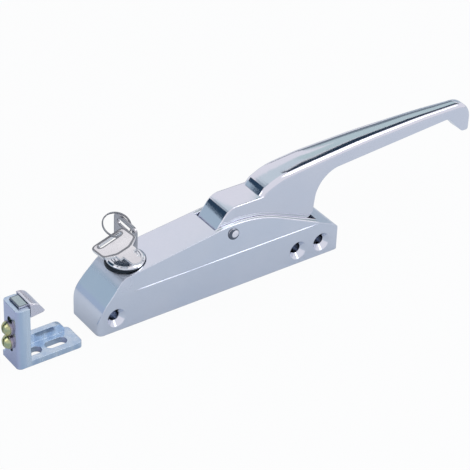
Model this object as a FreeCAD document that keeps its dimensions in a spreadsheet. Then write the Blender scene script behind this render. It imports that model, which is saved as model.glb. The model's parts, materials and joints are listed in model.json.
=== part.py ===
import FreeCAD, Part
import math
import os
import Sketcher
from FreeCAD import Placement, Rotation, Vector

# Edge-mounted lever latch for a cold room door, with its key lock and its strike.
# The lever turns about a pin that crosses the housing, and its lower arm draws a
# sprung bolt back from the strike. Millimetres, +X towards the lever's end, +Z up
# from the base, the origin on the base plane straight below the pivot pin.

doc = FreeCAD.newDocument("DoorLatch")
sheet = doc.addObject("Spreadsheet::Sheet", "Sizes")

DRIVING = {
    # Housing shell, seen from the side
    "nose_len": 95.5,
    "tail_len": 80.5,
    "body_width": 31.0,
    "nose_wall_top": 14.3,
    "brow_inset": 18.0,
    "brow_height": 34.5,
    "arch_front": 14.3,
    "arch_height": 46.6,
    "arch_radius": 84.0,
    "tail_height": 17.6,
    "nose_radius": 25.0,
    "brow_radius": 7.0,
    "tail_radius": 9.0,
    "corner_radius": 3.4,
    "crease_height": 24.3,
    "side_lean": 2.4,
    # Housing shell, inside
    "wall": 3.0,
    "roof_wall": 3.2,
    "chamber_height": 22.0,
    "slot_width": 20.8,
    "slot_front": 11.5,
    "slot_back": 65.5,
    "roof_flat": 31.2,
    "roof_bend": 54.0,
    # Fixing screws through the width
    "screw_height": 9.6,
    "screw_inset": 12.4,
    "screw_mid": 48.7,
    "screw_back": 66.5,
    "screw_bore": 3.25,
    "screw_sink": 6.3,
    "screw_boss": 5.6,
    # Pivot
    "pivot_height": 38.5,
    "pin_radius": 3.5,
    "pin_dome": 0.9,
    "bush_wall": 1.0,
    "bush_length": 7.5,
    "running_gap": 0.05,
    # Lever
    "root_width": 20.2,
    "root_front": 10.9,
    "root_top": 54.4,
    "root_chin": 6.0,
    "root_lip": 2.0,
    "root_face_run": 10.3,
    "root_round": 10.0,
    "root_back": 22.0,
    "heel_run": 3.5,
    "heel_rise": 4.2,
    "heel_round": 10.0,
    "neck_run": 14.0,
    "neck_rise": 9.5,
    "neck_round": 40.0,
    "grip_start": 60.0,
    "grip_low": 66.4,
    "grip_bend": 105.0,
    "grip_shoulder": 68.8,
    "grip_high": 150.0,
    "grip_top": 69.2,
    "grip_end": 191.0,
    "grip_drop": 1.2,
    "grip_bow": 500.0,
    "grip_end_radius": 12.5,
    "grip_round": 3.5,
    "rim_round": 0.6,
    "hook_tip": 47.6,
    "hook_width": 6.5,
    "hook_tip_round": 2.6,
    "under_end": 172.0,
    "under_back": 60.6,
    "under_round": 7.0,
    "web_back": 62.5,
    "web_bottom": 30.0,
    "web_lean": 3.3,
    "web_top": 56.2,
    "web_radius": 19.0,
    "root_heel": 27.0,
    "taper_start": 62.0,
    "taper_end": 178.0,
    "tip_width": 11.0,
    "taper_round": 60.0,
    "arm_width": 7.8,
    "arm_half": 4.2,
    "drive_height": 14.5,
    "drive_pin_radius": 2.5,
    "drive_pin_length": 12.4,
    # Bolt
    "bolt_front": 54.0,
    "bolt_back": 10.0,
    "bolt_half": 6.5,
    "bolt_lift": 0.2,
    "bolt_top": 9.5,
    "bolt_bevel": 4.5,
    "cheek_half": 8.0,
    "cheek_top": 20.0,
    "cheek_slot": 4.45,
    "drive_gap": 0.45,
    # Bolt spring and its rod
    "spring_wall_at": 40.2,
    "spring_wall": 2.6,
    "spring_outer": 3.0,
    "spring_wire": 0.4,
    "spring_turns": 9.0,
    "rod_radius": 1.3,
    "rod_end": 12.6,
    "rod_bore_depth": 10.0,
    # Bottom plate and its screws
    "plate_thick": 1.8,
    "plate_front": 50.0,
    "plate_gap": 0.2,
    "post_radius": 3.0,
    "post_side": 9.8,
    "post_front": 46.0,
    "post_back": 34.0,
    "plate_screw_radius": 1.25,
    "plate_screw_head": 2.2,
    "plate_screw_length": 9.0,
    "guide_at": 42.0,
    "guide_wall": 3.0,
    # Key lock
    "lock_inset": 28.0,
    "seat_lift": 0.38,
    "seat_inset": 1.2,
    "seat_margin": 0.4,
    "bezel_radius": 11.8,
    "bezel_thick": 2.6,
    "bezel_chamfer": 0.9,
    "barrel_radius": 6.9,
    "barrel_gap": 0.2,
    "barrel_foot": 21.0,
    "nut_flats": 8.2,
    "nut_thick": 3.0,
    "plug_radius": 5.0,
    "plug_recess": 0.8,
    "plug_foot": 19.4,
    "cam_thick": 2.2,
    "cam_reach": 9.0,
    "cam_half": 4.2,
    "cam_screw_head": 3.4,
    "cam_screw_thick": 2.0,
    "cam_screw_shank": 1.6,
    "cam_screw_depth": 6.0,
    # Keys and ring
    "key_thick": 1.6,
    "bow_width": 23.5,
    "bow_top": 64.4,
    "bow_side": 48.5,
    "shoulder_height": 42.6,
    "shoulder_half": 5.8,
    "bow_corner": 3.4,
    "key_slot_length": 16.0,
    "key_slot_top": 62.0,
    "key_slot_bottom": 58.0,
    "blade_half": 3.6,
    "blade_tip": 25.0,
    "keyway_gap": 0.15,
    "ring_radius": 8.5,
    "ring_wire": 0.55,
    "ring_back": 6.1,
    "ring_rise": 63.2,
    "ring_tilt": 65.0,
    # Strike
    "strike_left": 150.5,
    "strike_near": 17.9,
    "post_depth": 8.9,
    "post_bend": 2.8,
    "post_edge": 0.9,
    "base_bend": 4.0,
    "base_corner": 2.8,
    "post_width": 17.5,
    "post_height": 40.5,
    "strike_wall": 3.0,
    "strike_base_length": 43.0,
    "strike_base_width": 18.0,
    "strike_base_thick": 3.8,
    "upstand_height": 10.3,
    "upstand_round": 5.5,
    "upstand_thick": 3.6,
    "upstand_end": 4.2,
    "base_slot_half": 3.4,
    "base_slot_near": 7.5,
    "base_slot_length": 14.0,
    "base_slot_first": 12.2,
    "base_slot_second": 29.0,
    "face_slot_half": 2.6,
    "face_slot_low": 9.0,
    "face_slot_high": 33.0,
    "hook_gap": 0.25,
    "hook_low": 12.0,
    "hook_ridge": 42.4,
    "hook_tip_height": 36.0,
    "hook_under": 34.0,
    "hook_reach": 18.3,
    "hook_wide": 16.5,
    "hook_flat": 4.6,
    "hook_round": 8.2,
    "hook_neck": 1.6,
    "hook_step": 0.6,
    "hook_bevel": 1.0,
    "strike_screw_low": 16.0,
    "strike_screw_pitch": 9.6,
    "strike_screw_radius": 2.2,
    "strike_screw_head": 4.2,
    "strike_screw_rise": 3.0,
    "strike_screw_length": 7.7,
    "washer_radius": 4.6,
    "washer_thick": 1.6,
}


class Size:
    """A length that carries both its number and its text for the sheet."""

    def __init__(self, value, text):
        self.value = float(value)
        self.text = text

    @staticmethod
    def of(other):
        if isinstance(other, Size):
            return other
        return Size(other, repr(float(other)))

    def join(self, other, sign, value):
        return Size(value, "(" + self.text + " " + sign + " " + Size.of(other).text + ")")

    def __add__(self, other):
        return self.join(other, "+", self.value + Size.of(other).value)

    def __sub__(self, other):
        return self.join(other, "-", self.value - Size.of(other).value)

    def __mul__(self, other):
        return self.join(other, "*", self.value * Size.of(other).value)

    def __truediv__(self, other):
        return self.join(other, "/", self.value / Size.of(other).value)

    def __radd__(self, other):
        return Size.of(other) + self

    def __rsub__(self, other):
        return Size.of(other) - self

    def __rmul__(self, other):
        return Size.of(other) * self

    def __neg__(self):
        return Size.of(0) - self

    def root(self):
        return Size(math.sqrt(self.value), "sqrt(" + self.text + ")")


class Sizes:
    """Every driving dimension by name, each bound to its own cell."""


def fill_sheet():
    """Write the driving dimensions into the sheet and return them by name."""
    table = Sizes()
    for row, (name, value) in enumerate(DRIVING.items(), start=1):
        sheet.set("A%d" % row, name)
        sheet.set("B%d" % row, str(value))
        sheet.setAlias("B%d" % row, name)
        setattr(table, name, Size(value, "Sizes." + name))
    doc.recompute()
    return table


S = fill_sheet()


def bind(thing, field, size):
    """Give a property its number, and its expression where it has one."""
    size = Size.of(size)
    thing.setExpression(field, size.text)


def place(thing, x=0.0, y=0.0, z=0.0, turn=None):
    """Place an object by sizes, with an optional fixed rotation."""
    if turn is not None:
        thing.Placement = Placement(Vector(), turn)
    for axis, size in zip("xyz", (x, y, z)):
        bind(thing, "Placement.Base." + axis, size)


def new_body(label):
    body = doc.addObject("PartDesign::Body", label)
    body.Label = label
    return body


def plane_of(body, role):
    return [p for p in body.Origin.OriginFeatures if p.Role == role][0]


def new_sketch(body, name, role, offset=None):
    """An empty sketch on one of the body's own planes, lifted by offset."""
    sketch = body.newObject("Sketcher::SketchObject", name)
    sketch.AttachmentSupport = [(plane_of(body, role), "")]
    sketch.MapMode = "FlatFace"
    if offset is not None:
        bind(sketch, "AttachmentOffset.Base.z", offset)
    return sketch


def pin_point(sketch, geo, pos, x, y):
    """Hold one sketch point at sizes x, y; a plain zero puts it on the axis."""
    for kind, axis, size in (("DistanceX", -2, x), ("DistanceY", -1, y)):
        if not isinstance(size, Size) and size == 0:
            sketch.addConstraint(Sketcher.Constraint("PointOnObject", geo, pos, axis))
            continue
        size = Size.of(size)
        index = sketch.addConstraint(
            Sketcher.Constraint(kind, -1, 1, geo, pos, size.value))
        sketch.setExpression("Constraints[%d]" % index, size.text)


def draw_outline(sketch, corners):
    """Draw a closed outline from (x, y) or (x, y, radius) corners, all in sizes."""
    count = len(corners)
    at = [Vector(Size.of(c[0]).value, Size.of(c[1]).value, 0) for c in corners]
    radii = [Size.of(c[2]).value if len(c) > 2 else 0.0 for c in corners]
    arrive = []
    leave = []
    centres = []
    for i in range(count):
        before = (at[i - 1] - at[i]).normalize()
        after = (at[(i + 1) % count] - at[i]).normalize()
        if radii[i] == 0.0:
            arrive.append(at[i])
            leave.append(at[i])
            centres.append(None)
            continue
        half = before.getAngle(after) / 2
        run = radii[i] / math.tan(half)
        arrive.append(at[i] + before * run)
        leave.append(at[i] + after * run)
        middle = (before + after).normalize()
        centres.append(at[i] + middle * (radii[i] / math.sin(half)))
    lines = []
    for i in range(count):
        segment = Part.LineSegment(leave[i], arrive[(i + 1) % count])
        lines.append(sketch.addGeometry(segment, False))
    for i in range(count):
        into = lines[i - 1]
        out = lines[i]
        if radii[i] == 0.0:
            sketch.addConstraint(Sketcher.Constraint("Coincident", into, 2, out, 1))
            pin_point(sketch, out, 1, corners[i][0], corners[i][1])
            continue
        first = arrive[i] - centres[i]
        last = leave[i] - centres[i]
        left_turn = first.cross(last).z > 0
        start = math.atan2(first.y, first.x)
        end = math.atan2(last.y, last.x)
        if not left_turn:
            start, end = end, start
        circle = Part.Circle(centres[i], Vector(0, 0, 1), radii[i])
        arc = sketch.addGeometry(Part.ArcOfCircle(circle, start, end), False)
        join_in, join_out = (1, 2) if left_turn else (2, 1)
        sketch.addConstraint(Sketcher.Constraint("Tangent", into, 2, arc, join_in))
        sketch.addConstraint(Sketcher.Constraint("Tangent", arc, join_out, out, 1))
        index = sketch.addConstraint(Sketcher.Constraint("Radius", arc, radii[i]))
        sketch.setExpression("Constraints[%d]" % index, Size.of(corners[i][2]).text)
        point = sketch.addGeometry(Part.Point(at[i]), True)
        sketch.addConstraint(Sketcher.Constraint("PointOnObject", point, 1, into))
        sketch.addConstraint(Sketcher.Constraint("PointOnObject", point, 1, out))
        pin_point(sketch, point, 1, corners[i][0], corners[i][1])


def outline(body, name, role, corners, offset=None):
    sketch = new_sketch(body, name, role, offset)
    draw_outline(sketch, corners)
    return sketch


def circles(body, name, role, rounds, offset=None):
    """A sketch of whole circles, each (x, y, radius)."""
    sketch = new_sketch(body, name, role, offset)
    for x, y, radius in rounds:
        centre = Vector(Size.of(x).value, Size.of(y).value, 0)
        circle = Part.Circle(centre, Vector(0, 0, 1), Size.of(radius).value)
        geo = sketch.addGeometry(circle, False)
        index = sketch.addConstraint(
            Sketcher.Constraint("Radius", geo, Size.of(radius).value))
        sketch.setExpression("Constraints[%d]" % index, Size.of(radius).text)
        pin_point(sketch, geo, 3, x, y)
    return sketch


def box_corners(x0, y0, x1, y1, radius=None):
    """The four corners of an upright rectangle, rounded where a radius is given."""
    tail = () if radius is None else (radius,)
    return [(x0, y0) + tail, (x1, y0) + tail, (x1, y1) + tail, (x0, y1) + tail]


def slot_corners(x0, x1, y, half):
    """A slot with round ends along x, as a rectangle whose corners meet."""
    trim = half * 0.995
    return box_corners(x0, y - half, x1, y + half, trim)


def grow(body, kind, name, sketch, length, symmetric=False, backwards=False):
    """Pad or pocket a sketch, and check that the volume moved the right way."""
    doc.recompute()
    before = body.Shape.Volume if body.Tip is not None else 0.0
    feature = body.newObject("PartDesign::" + kind, name)
    feature.Profile = sketch
    feature.SideType = "Symmetric" if symmetric else "One side"
    feature.Reversed = backwards
    bind(feature, "Length", length)
    body.Tip = feature
    doc.recompute()
    change = body.Shape.Volume - before
    if change == 0.0 or (change > 0) != (kind == "Pad"):
        raise RuntimeError("%s of %s did nothing" % (name, body.Label))
    return feature


def pad(body, name, sketch, length, symmetric=False, backwards=False):
    return grow(body, "Pad", name, sketch, length, symmetric, backwards)


def pocket(body, name, sketch, length, symmetric=False, backwards=False):
    return grow(body, "Pocket", name, sketch, length, symmetric, backwards)


def revolve(body, name, sketch):
    """Turn a sketch on the XZ plane a full turn about the body's Z axis."""
    feature = body.newObject("PartDesign::Revolution", name)
    feature.Profile = sketch
    feature.ReferenceAxis = (sketch, ["V_Axis"])
    feature.Angle = 360
    body.Tip = feature
    doc.recompute()
    return feature


def round_edges(body, name, radius, wanted):
    """Fillet the edges of the body's tip that the wanted test picks."""
    doc.recompute()
    base = body.Tip
    names = ["Edge%d" % (i + 1) for i, e in enumerate(base.Shape.Edges) if wanted(e)]
    if not names:
        raise RuntimeError("no edge found for " + name)
    feature = body.newObject("PartDesign::Fillet", name)
    feature.Base = (base, names)
    bind(feature, "Radius", radius)
    body.Tip = feature
    doc.recompute()
    if "Invalid" in feature.State or feature.Shape.isNull():
        raise RuntimeError("%s of %s failed" % (name, body.Label))
    return feature


def cone_sink(body, name, x, y, z, turn, small, large):
    """A 90 degree countersink whose wide mouth lies at x, y, z."""
    cone = body.newObject("PartDesign::SubtractiveCone", name)
    bind(cone, "Radius1", large)
    bind(cone, "Radius2", small)
    bind(cone, "Height", large - small)
    place(cone, x, y, z, turn)
    body.Tip = cone
    doc.recompute()
    return cone


TURN_Y_FAR = Rotation(Vector(1, 0, 0), -90)
TURN_Y_NEAR = Rotation(Vector(1, 0, 0), 90)
TURN_X_BACK = Rotation(Vector(0, 1, 0), 90)
TURN_X_FRONT = Rotation(Vector(0, 1, 0), -90)

half_body = S.body_width / 2
brow_back = S.nose_len - S.brow_inset
lock_at = S.nose_len - S.lock_inset
screw_front = S.nose_len - S.screw_inset
nose_slope = (S.brow_height - S.nose_wall_top) / (S.nose_len - brow_back)
top_slope = (S.arch_height - S.brow_height) / (S.arch_front + brow_back)
OVERSHOOT = 2.0


def top_line(x):
    """Height of the sloping top face above the base at x."""
    return S.arch_height + top_slope * (x - S.arch_front)


seat_height = top_line(-lock_at) + S.seat_lift


def side_half(z):
    """Half the housing's width at height z, above the crease."""
    return half_body - S.side_lean * (z - S.crease_height) / (S.arch_height - S.crease_height)


def make_housing():
    body = new_body("housing")
    plan = outline(body, "PlanOutline", "XY_Plane", box_corners(
        -S.nose_len, -half_body, S.tail_len, half_body, S.corner_radius))
    pad(body, "Block", plan, S.arch_height)
    sky = S.arch_height + OVERSHOOT
    profile = [
        (-S.nose_len - OVERSHOOT, sky),
        (-S.nose_len - OVERSHOOT, S.nose_wall_top / 3),
        (-S.nose_len, S.nose_wall_top / 3),
        (-S.nose_len, S.nose_wall_top, S.nose_radius),
        (-brow_back, S.brow_height, S.brow_radius),
        (S.arch_front, S.arch_height, S.arch_radius),
        (S.tail_len, S.tail_height, S.tail_radius),
        (S.tail_len, S.tail_height / 2),
        (S.tail_len + OVERSHOOT, S.tail_height / 2),
        (S.tail_len + OVERSHOOT, sky),
    ]
    above = outline(body, "SideProfile", "XZ_Plane", profile)
    pocket(body, "TopTrim", above, S.body_width * 2, symmetric=True)
    outer = half_body + OVERSHOOT
    foot = half_body
    head = half_body - S.side_lean * (sky - S.crease_height) / (
        S.arch_height - S.crease_height)
    for side, name in ((1, "Far"), (-1, "Near")):
        lean = outline(body, name + "Lean", "YZ_Plane", [
            (foot * side, S.crease_height),
            (outer * side, S.crease_height),
            (outer * side, sky),
            (head * side, sky),
        ])
        pocket(body, name + "LeanCut", lean, (S.nose_len + S.tail_len) * 2, symmetric=True)

    seat = circles(body, "LockSeat", "XY_Plane",
                   [(-lock_at, 0, S.bezel_radius - S.seat_inset)], S.roof_flat - S.roof_wall)
    pad(body, "LockBoss", seat, seat_height - S.roof_flat + S.roof_wall)
    spot = circles(body, "LockSpot", "XY_Plane",
                   [(-lock_at, 0, S.bezel_radius + S.seat_margin)], seat_height)
    pocket(body, "LockSpotface", spot, S.roof_wall * 2, backwards=True)
    drop = S.wall * (1 + nose_slope * nose_slope).root()
    inner_nose = S.nose_len - S.wall
    chamber_nose = S.nose_len - (S.chamber_height + drop - S.nose_wall_top) / nose_slope
    rear_slope = (S.arch_height - S.tail_height) / (S.tail_len - S.arch_front)
    rear_inner = S.tail_len - S.wall
    rear_top = S.tail_height + rear_slope * S.wall - S.wall * 1.1
    chamber_tail = rear_inner - (S.chamber_height - rear_top) / rear_slope
    lower = outline(body, "Chamber", "XZ_Plane", [
        (-inner_nose, -OVERSHOOT),
        (-inner_nose, S.nose_wall_top + nose_slope * S.wall - drop),
        (-chamber_nose, S.chamber_height),
        (chamber_tail, S.chamber_height),
        (rear_inner, rear_top),
        (rear_inner, -OVERSHOOT),
    ])
    pocket(body, "ChamberCut", lower, S.body_width - S.wall * 2, symmetric=True)
    front_inner = brow_back - S.wall / 2
    upper = outline(body, "Gallery", "XZ_Plane", [
        (-front_inner, S.chamber_height - OVERSHOOT),
        (-front_inner, S.roof_flat),
        (-S.roof_bend, S.roof_flat),
        (-S.slot_front, top_line(-S.slot_front) - S.roof_wall),
        (-S.slot_front, sky),
        (S.slot_back, sky),
        (S.slot_back, S.chamber_height - OVERSHOOT),
    ])
    pocket(body, "GalleryCut", upper, S.slot_width, symmetric=True)
    screws = ((-screw_front, "Front"), (S.screw_mid, "Mid"), (S.screw_back, "Back"))
    inside = S.body_width - S.wall
    bosses = circles(body, "ScrewBosses", "XZ_Plane",
                     [(x, S.screw_height, S.screw_boss) for x, _ in screws])
    pad(body, "Bosses", bosses, inside, symmetric=True)
    wall_back = S.spring_wall_at + S.spring_wall
    stop = outline(body, "SpringWall", "XZ_Plane", box_corners(
        S.spring_wall_at, S.plate_thick + S.bolt_lift, wall_back,
        S.chamber_height + OVERSHOOT))
    pad(body, "SpringStop", stop, inside, symmetric=True)
    guide = outline(body, "GuideWall", "XZ_Plane", box_corners(
        -S.guide_at, S.bolt_top + S.plate_gap, -S.guide_at + S.guide_wall,
        S.chamber_height + OVERSHOOT))
    pad(body, "BoltGuide", guide, inside, symmetric=True)
    spots = [(x, y) for x in (-S.post_front, S.post_back) for y in (-S.post_side, S.post_side)]
    posts = circles(body, "PostRounds", "XY_Plane",
                    [(x, y, S.post_radius) for x, y in spots], S.plate_thick)
    pad(body, "Posts", posts, S.chamber_height - S.plate_thick + S.wall / 2)
    taps = circles(body, "PostTaps", "XY_Plane",
                   [(x, y, S.plate_screw_radius) for x, y in spots], S.plate_thick)
    pocket(body, "PostHoles", taps, S.plate_screw_length, backwards=True)
    rod = circles(body, "RodSeat", "YZ_Plane",
                  [(0, rod_height, S.rod_radius)], S.spring_wall_at)
    pocket(body, "RodHole", rod, S.spring_wall, backwards=True)
    bores = circles(body, "ScrewBores", "XZ_Plane",
                    [(x, S.screw_height, S.screw_bore) for x, _ in screws])
    pocket(body, "ScrewHoles", bores, S.body_width * 2, symmetric=True)
    pin = circles(body, "PinBore", "XZ_Plane", [(0, S.pivot_height, S.pin_radius)])
    pocket(body, "PinHole", pin, S.body_width * 2, symmetric=True)
    lock = circles(body, "LockBore", "XY_Plane",
                   [(-lock_at, 0, S.barrel_radius + S.barrel_gap)], S.roof_flat - S.roof_wall)
    pocket(body, "LockHole", lock, S.arch_height, backwards=True)
    for x, name in screws:
        cone_sink(body, name + "Sink", x, -half_body, S.screw_height, TURN_Y_FAR,
                  S.screw_bore, S.screw_sink)
    return body


rod_height = S.plate_thick + S.bolt_lift + (S.bolt_top - S.plate_thick - S.bolt_lift) / 2


def make_bottom_plate():
    body = new_body("bottom_plate")
    half = half_body - S.wall - S.plate_gap
    far_end = S.tail_len - S.wall - S.plate_gap
    plan = outline(body, "PlateOutline", "XY_Plane", box_corners(
        -S.plate_front, -half, far_end, half))
    pad(body, "Sheet", plan, S.plate_thick)
    spots = [(x, y) for x in (-S.post_front, S.post_back) for y in (-S.post_side, S.post_side)]
    holes = circles(body, "PlateHoles", "XY_Plane",
                    [(x, y, S.plate_screw_radius) for x, y in spots])
    pocket(body, "PlateBores", holes, S.plate_thick, backwards=True)
    for number, (x, y) in enumerate(spots, start=1):
        cone_sink(body, "PlateSink%d" % number, x, y, 0, Rotation(),
                  S.plate_screw_radius, S.plate_screw_head)
    return body


def group(label, pieces):
    """Several like pieces that share one node."""
    holder = doc.addObject("Part::Compound", label)
    holder.Label = label
    holder.Links = pieces
    return holder


def make_plate_screws():
    pieces = []
    spots = [(x, y) for x in (-S.post_front, S.post_back) for y in (-S.post_side, S.post_side)]
    head = S.plate_screw_head - S.plate_screw_radius
    for number, (x, y) in enumerate(spots, start=1):
        body = new_body("plate_screw_%d" % number)
        shape = outline(body, "Profile%d" % number, "XZ_Plane", [
            (0, S.plate_screw_radius / 3),
            (S.plate_screw_radius, S.plate_screw_radius / 3),
            (S.plate_screw_radius, 0),
            (S.plate_screw_head, 0),
            (S.plate_screw_radius, head),
            (S.plate_screw_radius, S.plate_screw_length),
            (0, S.plate_screw_length),
        ])
        revolve(body, "Turned%d" % number, shape)
        place(body, x, y, 0)
        pieces.append(body)
    return group("bottom_plate_screws", pieces)


def make_pivot_pin():
    body = new_body("pivot_pin")
    half = side_half(S.pivot_height)
    flat = S.pin_radius * 0.55
    shape = outline(body, "PinProfile", "XZ_Plane", [
        (0, -half - S.pin_dome),
        (flat, -half - S.pin_dome),
        (S.pin_radius, -half),
        (S.pin_radius, half),
        (flat, half + S.pin_dome),
        (0, half + S.pin_dome),
    ])
    revolve(body, "Pin", shape)
    place(body, 0, 0, S.pivot_height, TURN_Y_NEAR)
    return body


def make_lever():
    body = new_body("lever")
    chin = S.pivot_height - S.root_front
    profile = [
        (-S.root_front, chin, S.root_chin),
        (-S.root_front, S.pivot_height + S.root_lip, S.root_chin),
        (-S.root_front + S.root_face_run, S.root_top, S.root_round),
        (S.root_back, S.root_top),
        (S.root_back + S.heel_run, S.root_top + S.heel_rise, S.heel_round),
        (S.root_back + S.neck_run, S.root_top + S.neck_rise, S.neck_round),
        (S.grip_start, S.grip_low, S.grip_bow / 3),
        (S.grip_bend, S.grip_shoulder, S.grip_bow),
        (S.grip_high, S.grip_top, S.grip_bow),
        (S.grip_end, S.grip_top - S.grip_drop, S.grip_end_radius),
        (S.grip_end, S.hook_tip),
        (S.grip_end - S.hook_width, S.hook_tip, S.hook_tip_round),
        (S.under_end, S.under_back, S.under_round),
        (S.web_back + S.web_lean, S.web_top, S.web_radius),
        (S.web_back, S.web_bottom),
        (S.web_back - S.web_lean, S.root_heel, S.root_lip),
        (S.root_front, chin, S.root_lip),
    ]
    side = outline(body, "LeverProfile", "XZ_Plane", profile)
    pad(body, "LeverBlank", side, S.root_width, symmetric=True)
    half = S.root_width / 2
    tip = S.tip_width / 2
    past = S.grip_end + OVERSHOOT
    for sign, name in ((1, "Far"), (-1, "Near")):
        taper = outline(body, name + "Taper", "XY_Plane", [
            (S.taper_start, half * sign),
            (S.taper_end, tip * sign, S.taper_round),
            (past, tip * sign),
            (past, (half + OVERSHOOT) * sign),
            (S.taper_start, (half + OVERSHOOT) * sign),
        ])
        pocket(body, name + "TaperCut", taper, S.grip_top + OVERSHOOT, backwards=True)

    def crown_edge(edge):
        spot = edge.BoundBox.Center
        lengthwise = edge.BoundBox.YLength < S.root_width.value / 4
        over = spot.z > S.under_back.value + 2 and spot.x > S.root_back.value
        outer = spot.x > (S.grip_end - S.hook_width / 4).value
        heel = S.root_back.value < spot.x < (S.root_back + S.heel_run).value
        sided = abs(spot.y) > tip.value / 2
        return lengthwise and sided and (over or outer or heel)

    def root_rim(edge):
        box = edge.BoundBox
        spot = box.Center
        sided = box.YLength < S.rim_round.value / 3 and abs(spot.y) > half.value * 0.99
        high = spot.z > (S.pivot_height + S.root_lip).value
        return sided and high and spot.x < S.root_back.value - 1.5

    def under_rim(edge):
        box = edge.BoundBox
        spot = box.Center
        sided = box.YLength < S.root_width.value / 4 and abs(spot.y) > tip.value * 0.8
        behind = box.XMin > S.web_back.value - 0.5 and spot.x < S.grip_end.value - 3.0
        return sided and behind and S.pivot_height.value < spot.z < S.under_back.value + 0.5

    round_edges(body, "CrownRound", S.grip_round, crown_edge)
    round_edges(body, "RootRims", S.rim_round, root_rim)
    round_edges(body, "UnderRims", S.rim_round, under_rim)
    arm = outline(body, "ArmProfile", "XZ_Plane", [
        (-S.arm_half, S.pivot_height),
        (-S.arm_half, S.drive_height - S.arm_half, S.arm_half * 0.98),
        (S.arm_half, S.drive_height - S.arm_half, S.arm_half * 0.98),
        (S.arm_half, S.pivot_height),
    ])
    pad(body, "Arm", arm, S.arm_width, symmetric=True)
    bore = circles(body, "BushBore", "XZ_Plane",
                   [(0, S.pivot_height, S.pin_radius + S.running_gap + S.bush_wall)])
    pocket(body, "BushHole", bore, S.root_width * 2, symmetric=True)
    drive = circles(body, "DriveBore", "XZ_Plane",
                    [(0, S.drive_height, S.drive_pin_radius)])
    pocket(body, "DriveHole", drive, S.root_width * 2, symmetric=True)
    return body


def make_bushes():
    pieces = []
    for sign, name in ((1, "far"), (-1, "near")):
        body = new_body("bush_" + name)
        inner = S.pin_radius + S.running_gap
        start = S.root_width / 2 - S.bush_length
        shape = outline(body, "BushProfile_" + name, "XZ_Plane", [
            (inner, start), (inner + S.bush_wall, start),
            (inner + S.bush_wall, S.root_width / 2), (inner, S.root_width / 2)])
        revolve(body, "Bush_" + name, shape)
        place(body, 0, 0, S.pivot_height, TURN_Y_FAR if sign > 0 else TURN_Y_NEAR)
        pieces.append(body)
    return group("lever_bushes", pieces)


def make_drive_pin():
    body = new_body("drive_pin")
    shape = circles(body, "DrivePinRound", "XZ_Plane",
                    [(0, S.drive_height, S.drive_pin_radius)])
    pad(body, "DrivePin", shape, S.drive_pin_length, symmetric=True)
    return body


def make_bolt():
    body = new_body("latch_bolt")
    low = S.plate_thick + S.bolt_lift
    bar = outline(body, "BoltProfile", "XZ_Plane", [
        (-S.bolt_front, S.bolt_top),
        (-S.bolt_front, low + S.bolt_bevel),
        (-S.bolt_front + S.bolt_bevel, low),
        (S.bolt_back, low),
        (S.bolt_back, S.bolt_top),
    ])
    pad(body, "Bar", bar, S.bolt_half * 2, symmetric=True)
    lug = outline(body, "CheekProfile", "XZ_Plane", [
        (-S.cheek_half, S.bolt_top - 1.0),
        (S.cheek_half, S.bolt_top - 1.0),
        (S.cheek_half, S.cheek_top, 2.0),
        (-S.cheek_half, S.cheek_top, 2.0),
    ])
    pad(body, "Cheeks", lug, S.bolt_half * 2, symmetric=True)
    gate = S.drive_pin_radius + S.drive_gap
    middle = outline(body, "ArmGap", "YZ_Plane", box_corners(
        -S.cheek_slot, S.bolt_top, S.cheek_slot, S.cheek_top + OVERSHOOT))
    pocket(body, "ArmGapCut", middle, S.cheek_half * 4, symmetric=True)
    slot = outline(body, "DriveSlot", "XZ_Plane", box_corners(
        -gate, S.bolt_top + 1.0, gate, S.cheek_top + OVERSHOOT))
    pocket(body, "DriveSlotCut", slot, S.bolt_half * 4, symmetric=True)
    bore = circles(body, "RodBore", "YZ_Plane",
                   [(0, rod_height, S.rod_radius + S.plate_gap)],
                   S.bolt_back - S.rod_bore_depth)
    pocket(body, "RodBoreCut", bore, S.rod_bore_depth + OVERSHOOT, backwards=True)
    return body


def make_spring_rod():
    body = new_body("spring_rod")
    shape = circles(body, "RodRound", "YZ_Plane", [(0, rod_height, S.rod_radius)], S.rod_end)
    pad(body, "Rod", shape, S.spring_wall_at + S.spring_wall - S.rod_end)
    return body


def make_spring():
    """A compression spring, as one round wire swept along a helix."""
    coil = doc.addObject("Part::Helix", "SpringCoil")
    free = S.spring_wall_at - S.bolt_back - S.spring_wire * 2 - 0.2
    bind(coil, "Radius", S.spring_outer - S.spring_wire)
    bind(coil, "Height", free)
    bind(coil, "Pitch", free / S.spring_turns)
    section = doc.addObject("Part::Circle", "SpringSection")
    bind(section, "Radius", S.spring_wire)
    place(section, S.spring_outer - S.spring_wire, 0, 0, Rotation(Vector(1, 0, 0), 90))
    sweep = doc.addObject("Part::Sweep", "bolt_spring")
    sweep.Label = "bolt_spring"
    sweep.Sections = [section]
    sweep.Spine = coil
    sweep.Solid = True
    sweep.Frenet = True
    place(sweep, S.bolt_back + S.spring_wire + 0.1, 0, rod_height, TURN_X_BACK)
    return sweep


def make_barrel():
    body = new_body("lock_barrel")
    top = seat_height + S.bezel_thick
    bore = S.plug_radius + S.running_gap
    shape = outline(body, "BarrelProfile", "XZ_Plane", [
        (bore, S.barrel_foot),
        (S.barrel_radius, S.barrel_foot),
        (S.barrel_radius, seat_height),
        (S.bezel_radius, seat_height),
        (S.bezel_radius, top - S.bezel_chamfer, S.bezel_chamfer * 0.8),
        (S.bezel_radius - S.bezel_chamfer * 1.4, top, S.bezel_chamfer),
        (bore + 2.4, top, 0.4),
        (bore + 2.4, top - S.plug_recess),
        (bore, top - S.plug_recess),
    ])
    revolve(body, "Barrel", shape)
    place(body, -lock_at, 0, 0)
    return body


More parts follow.
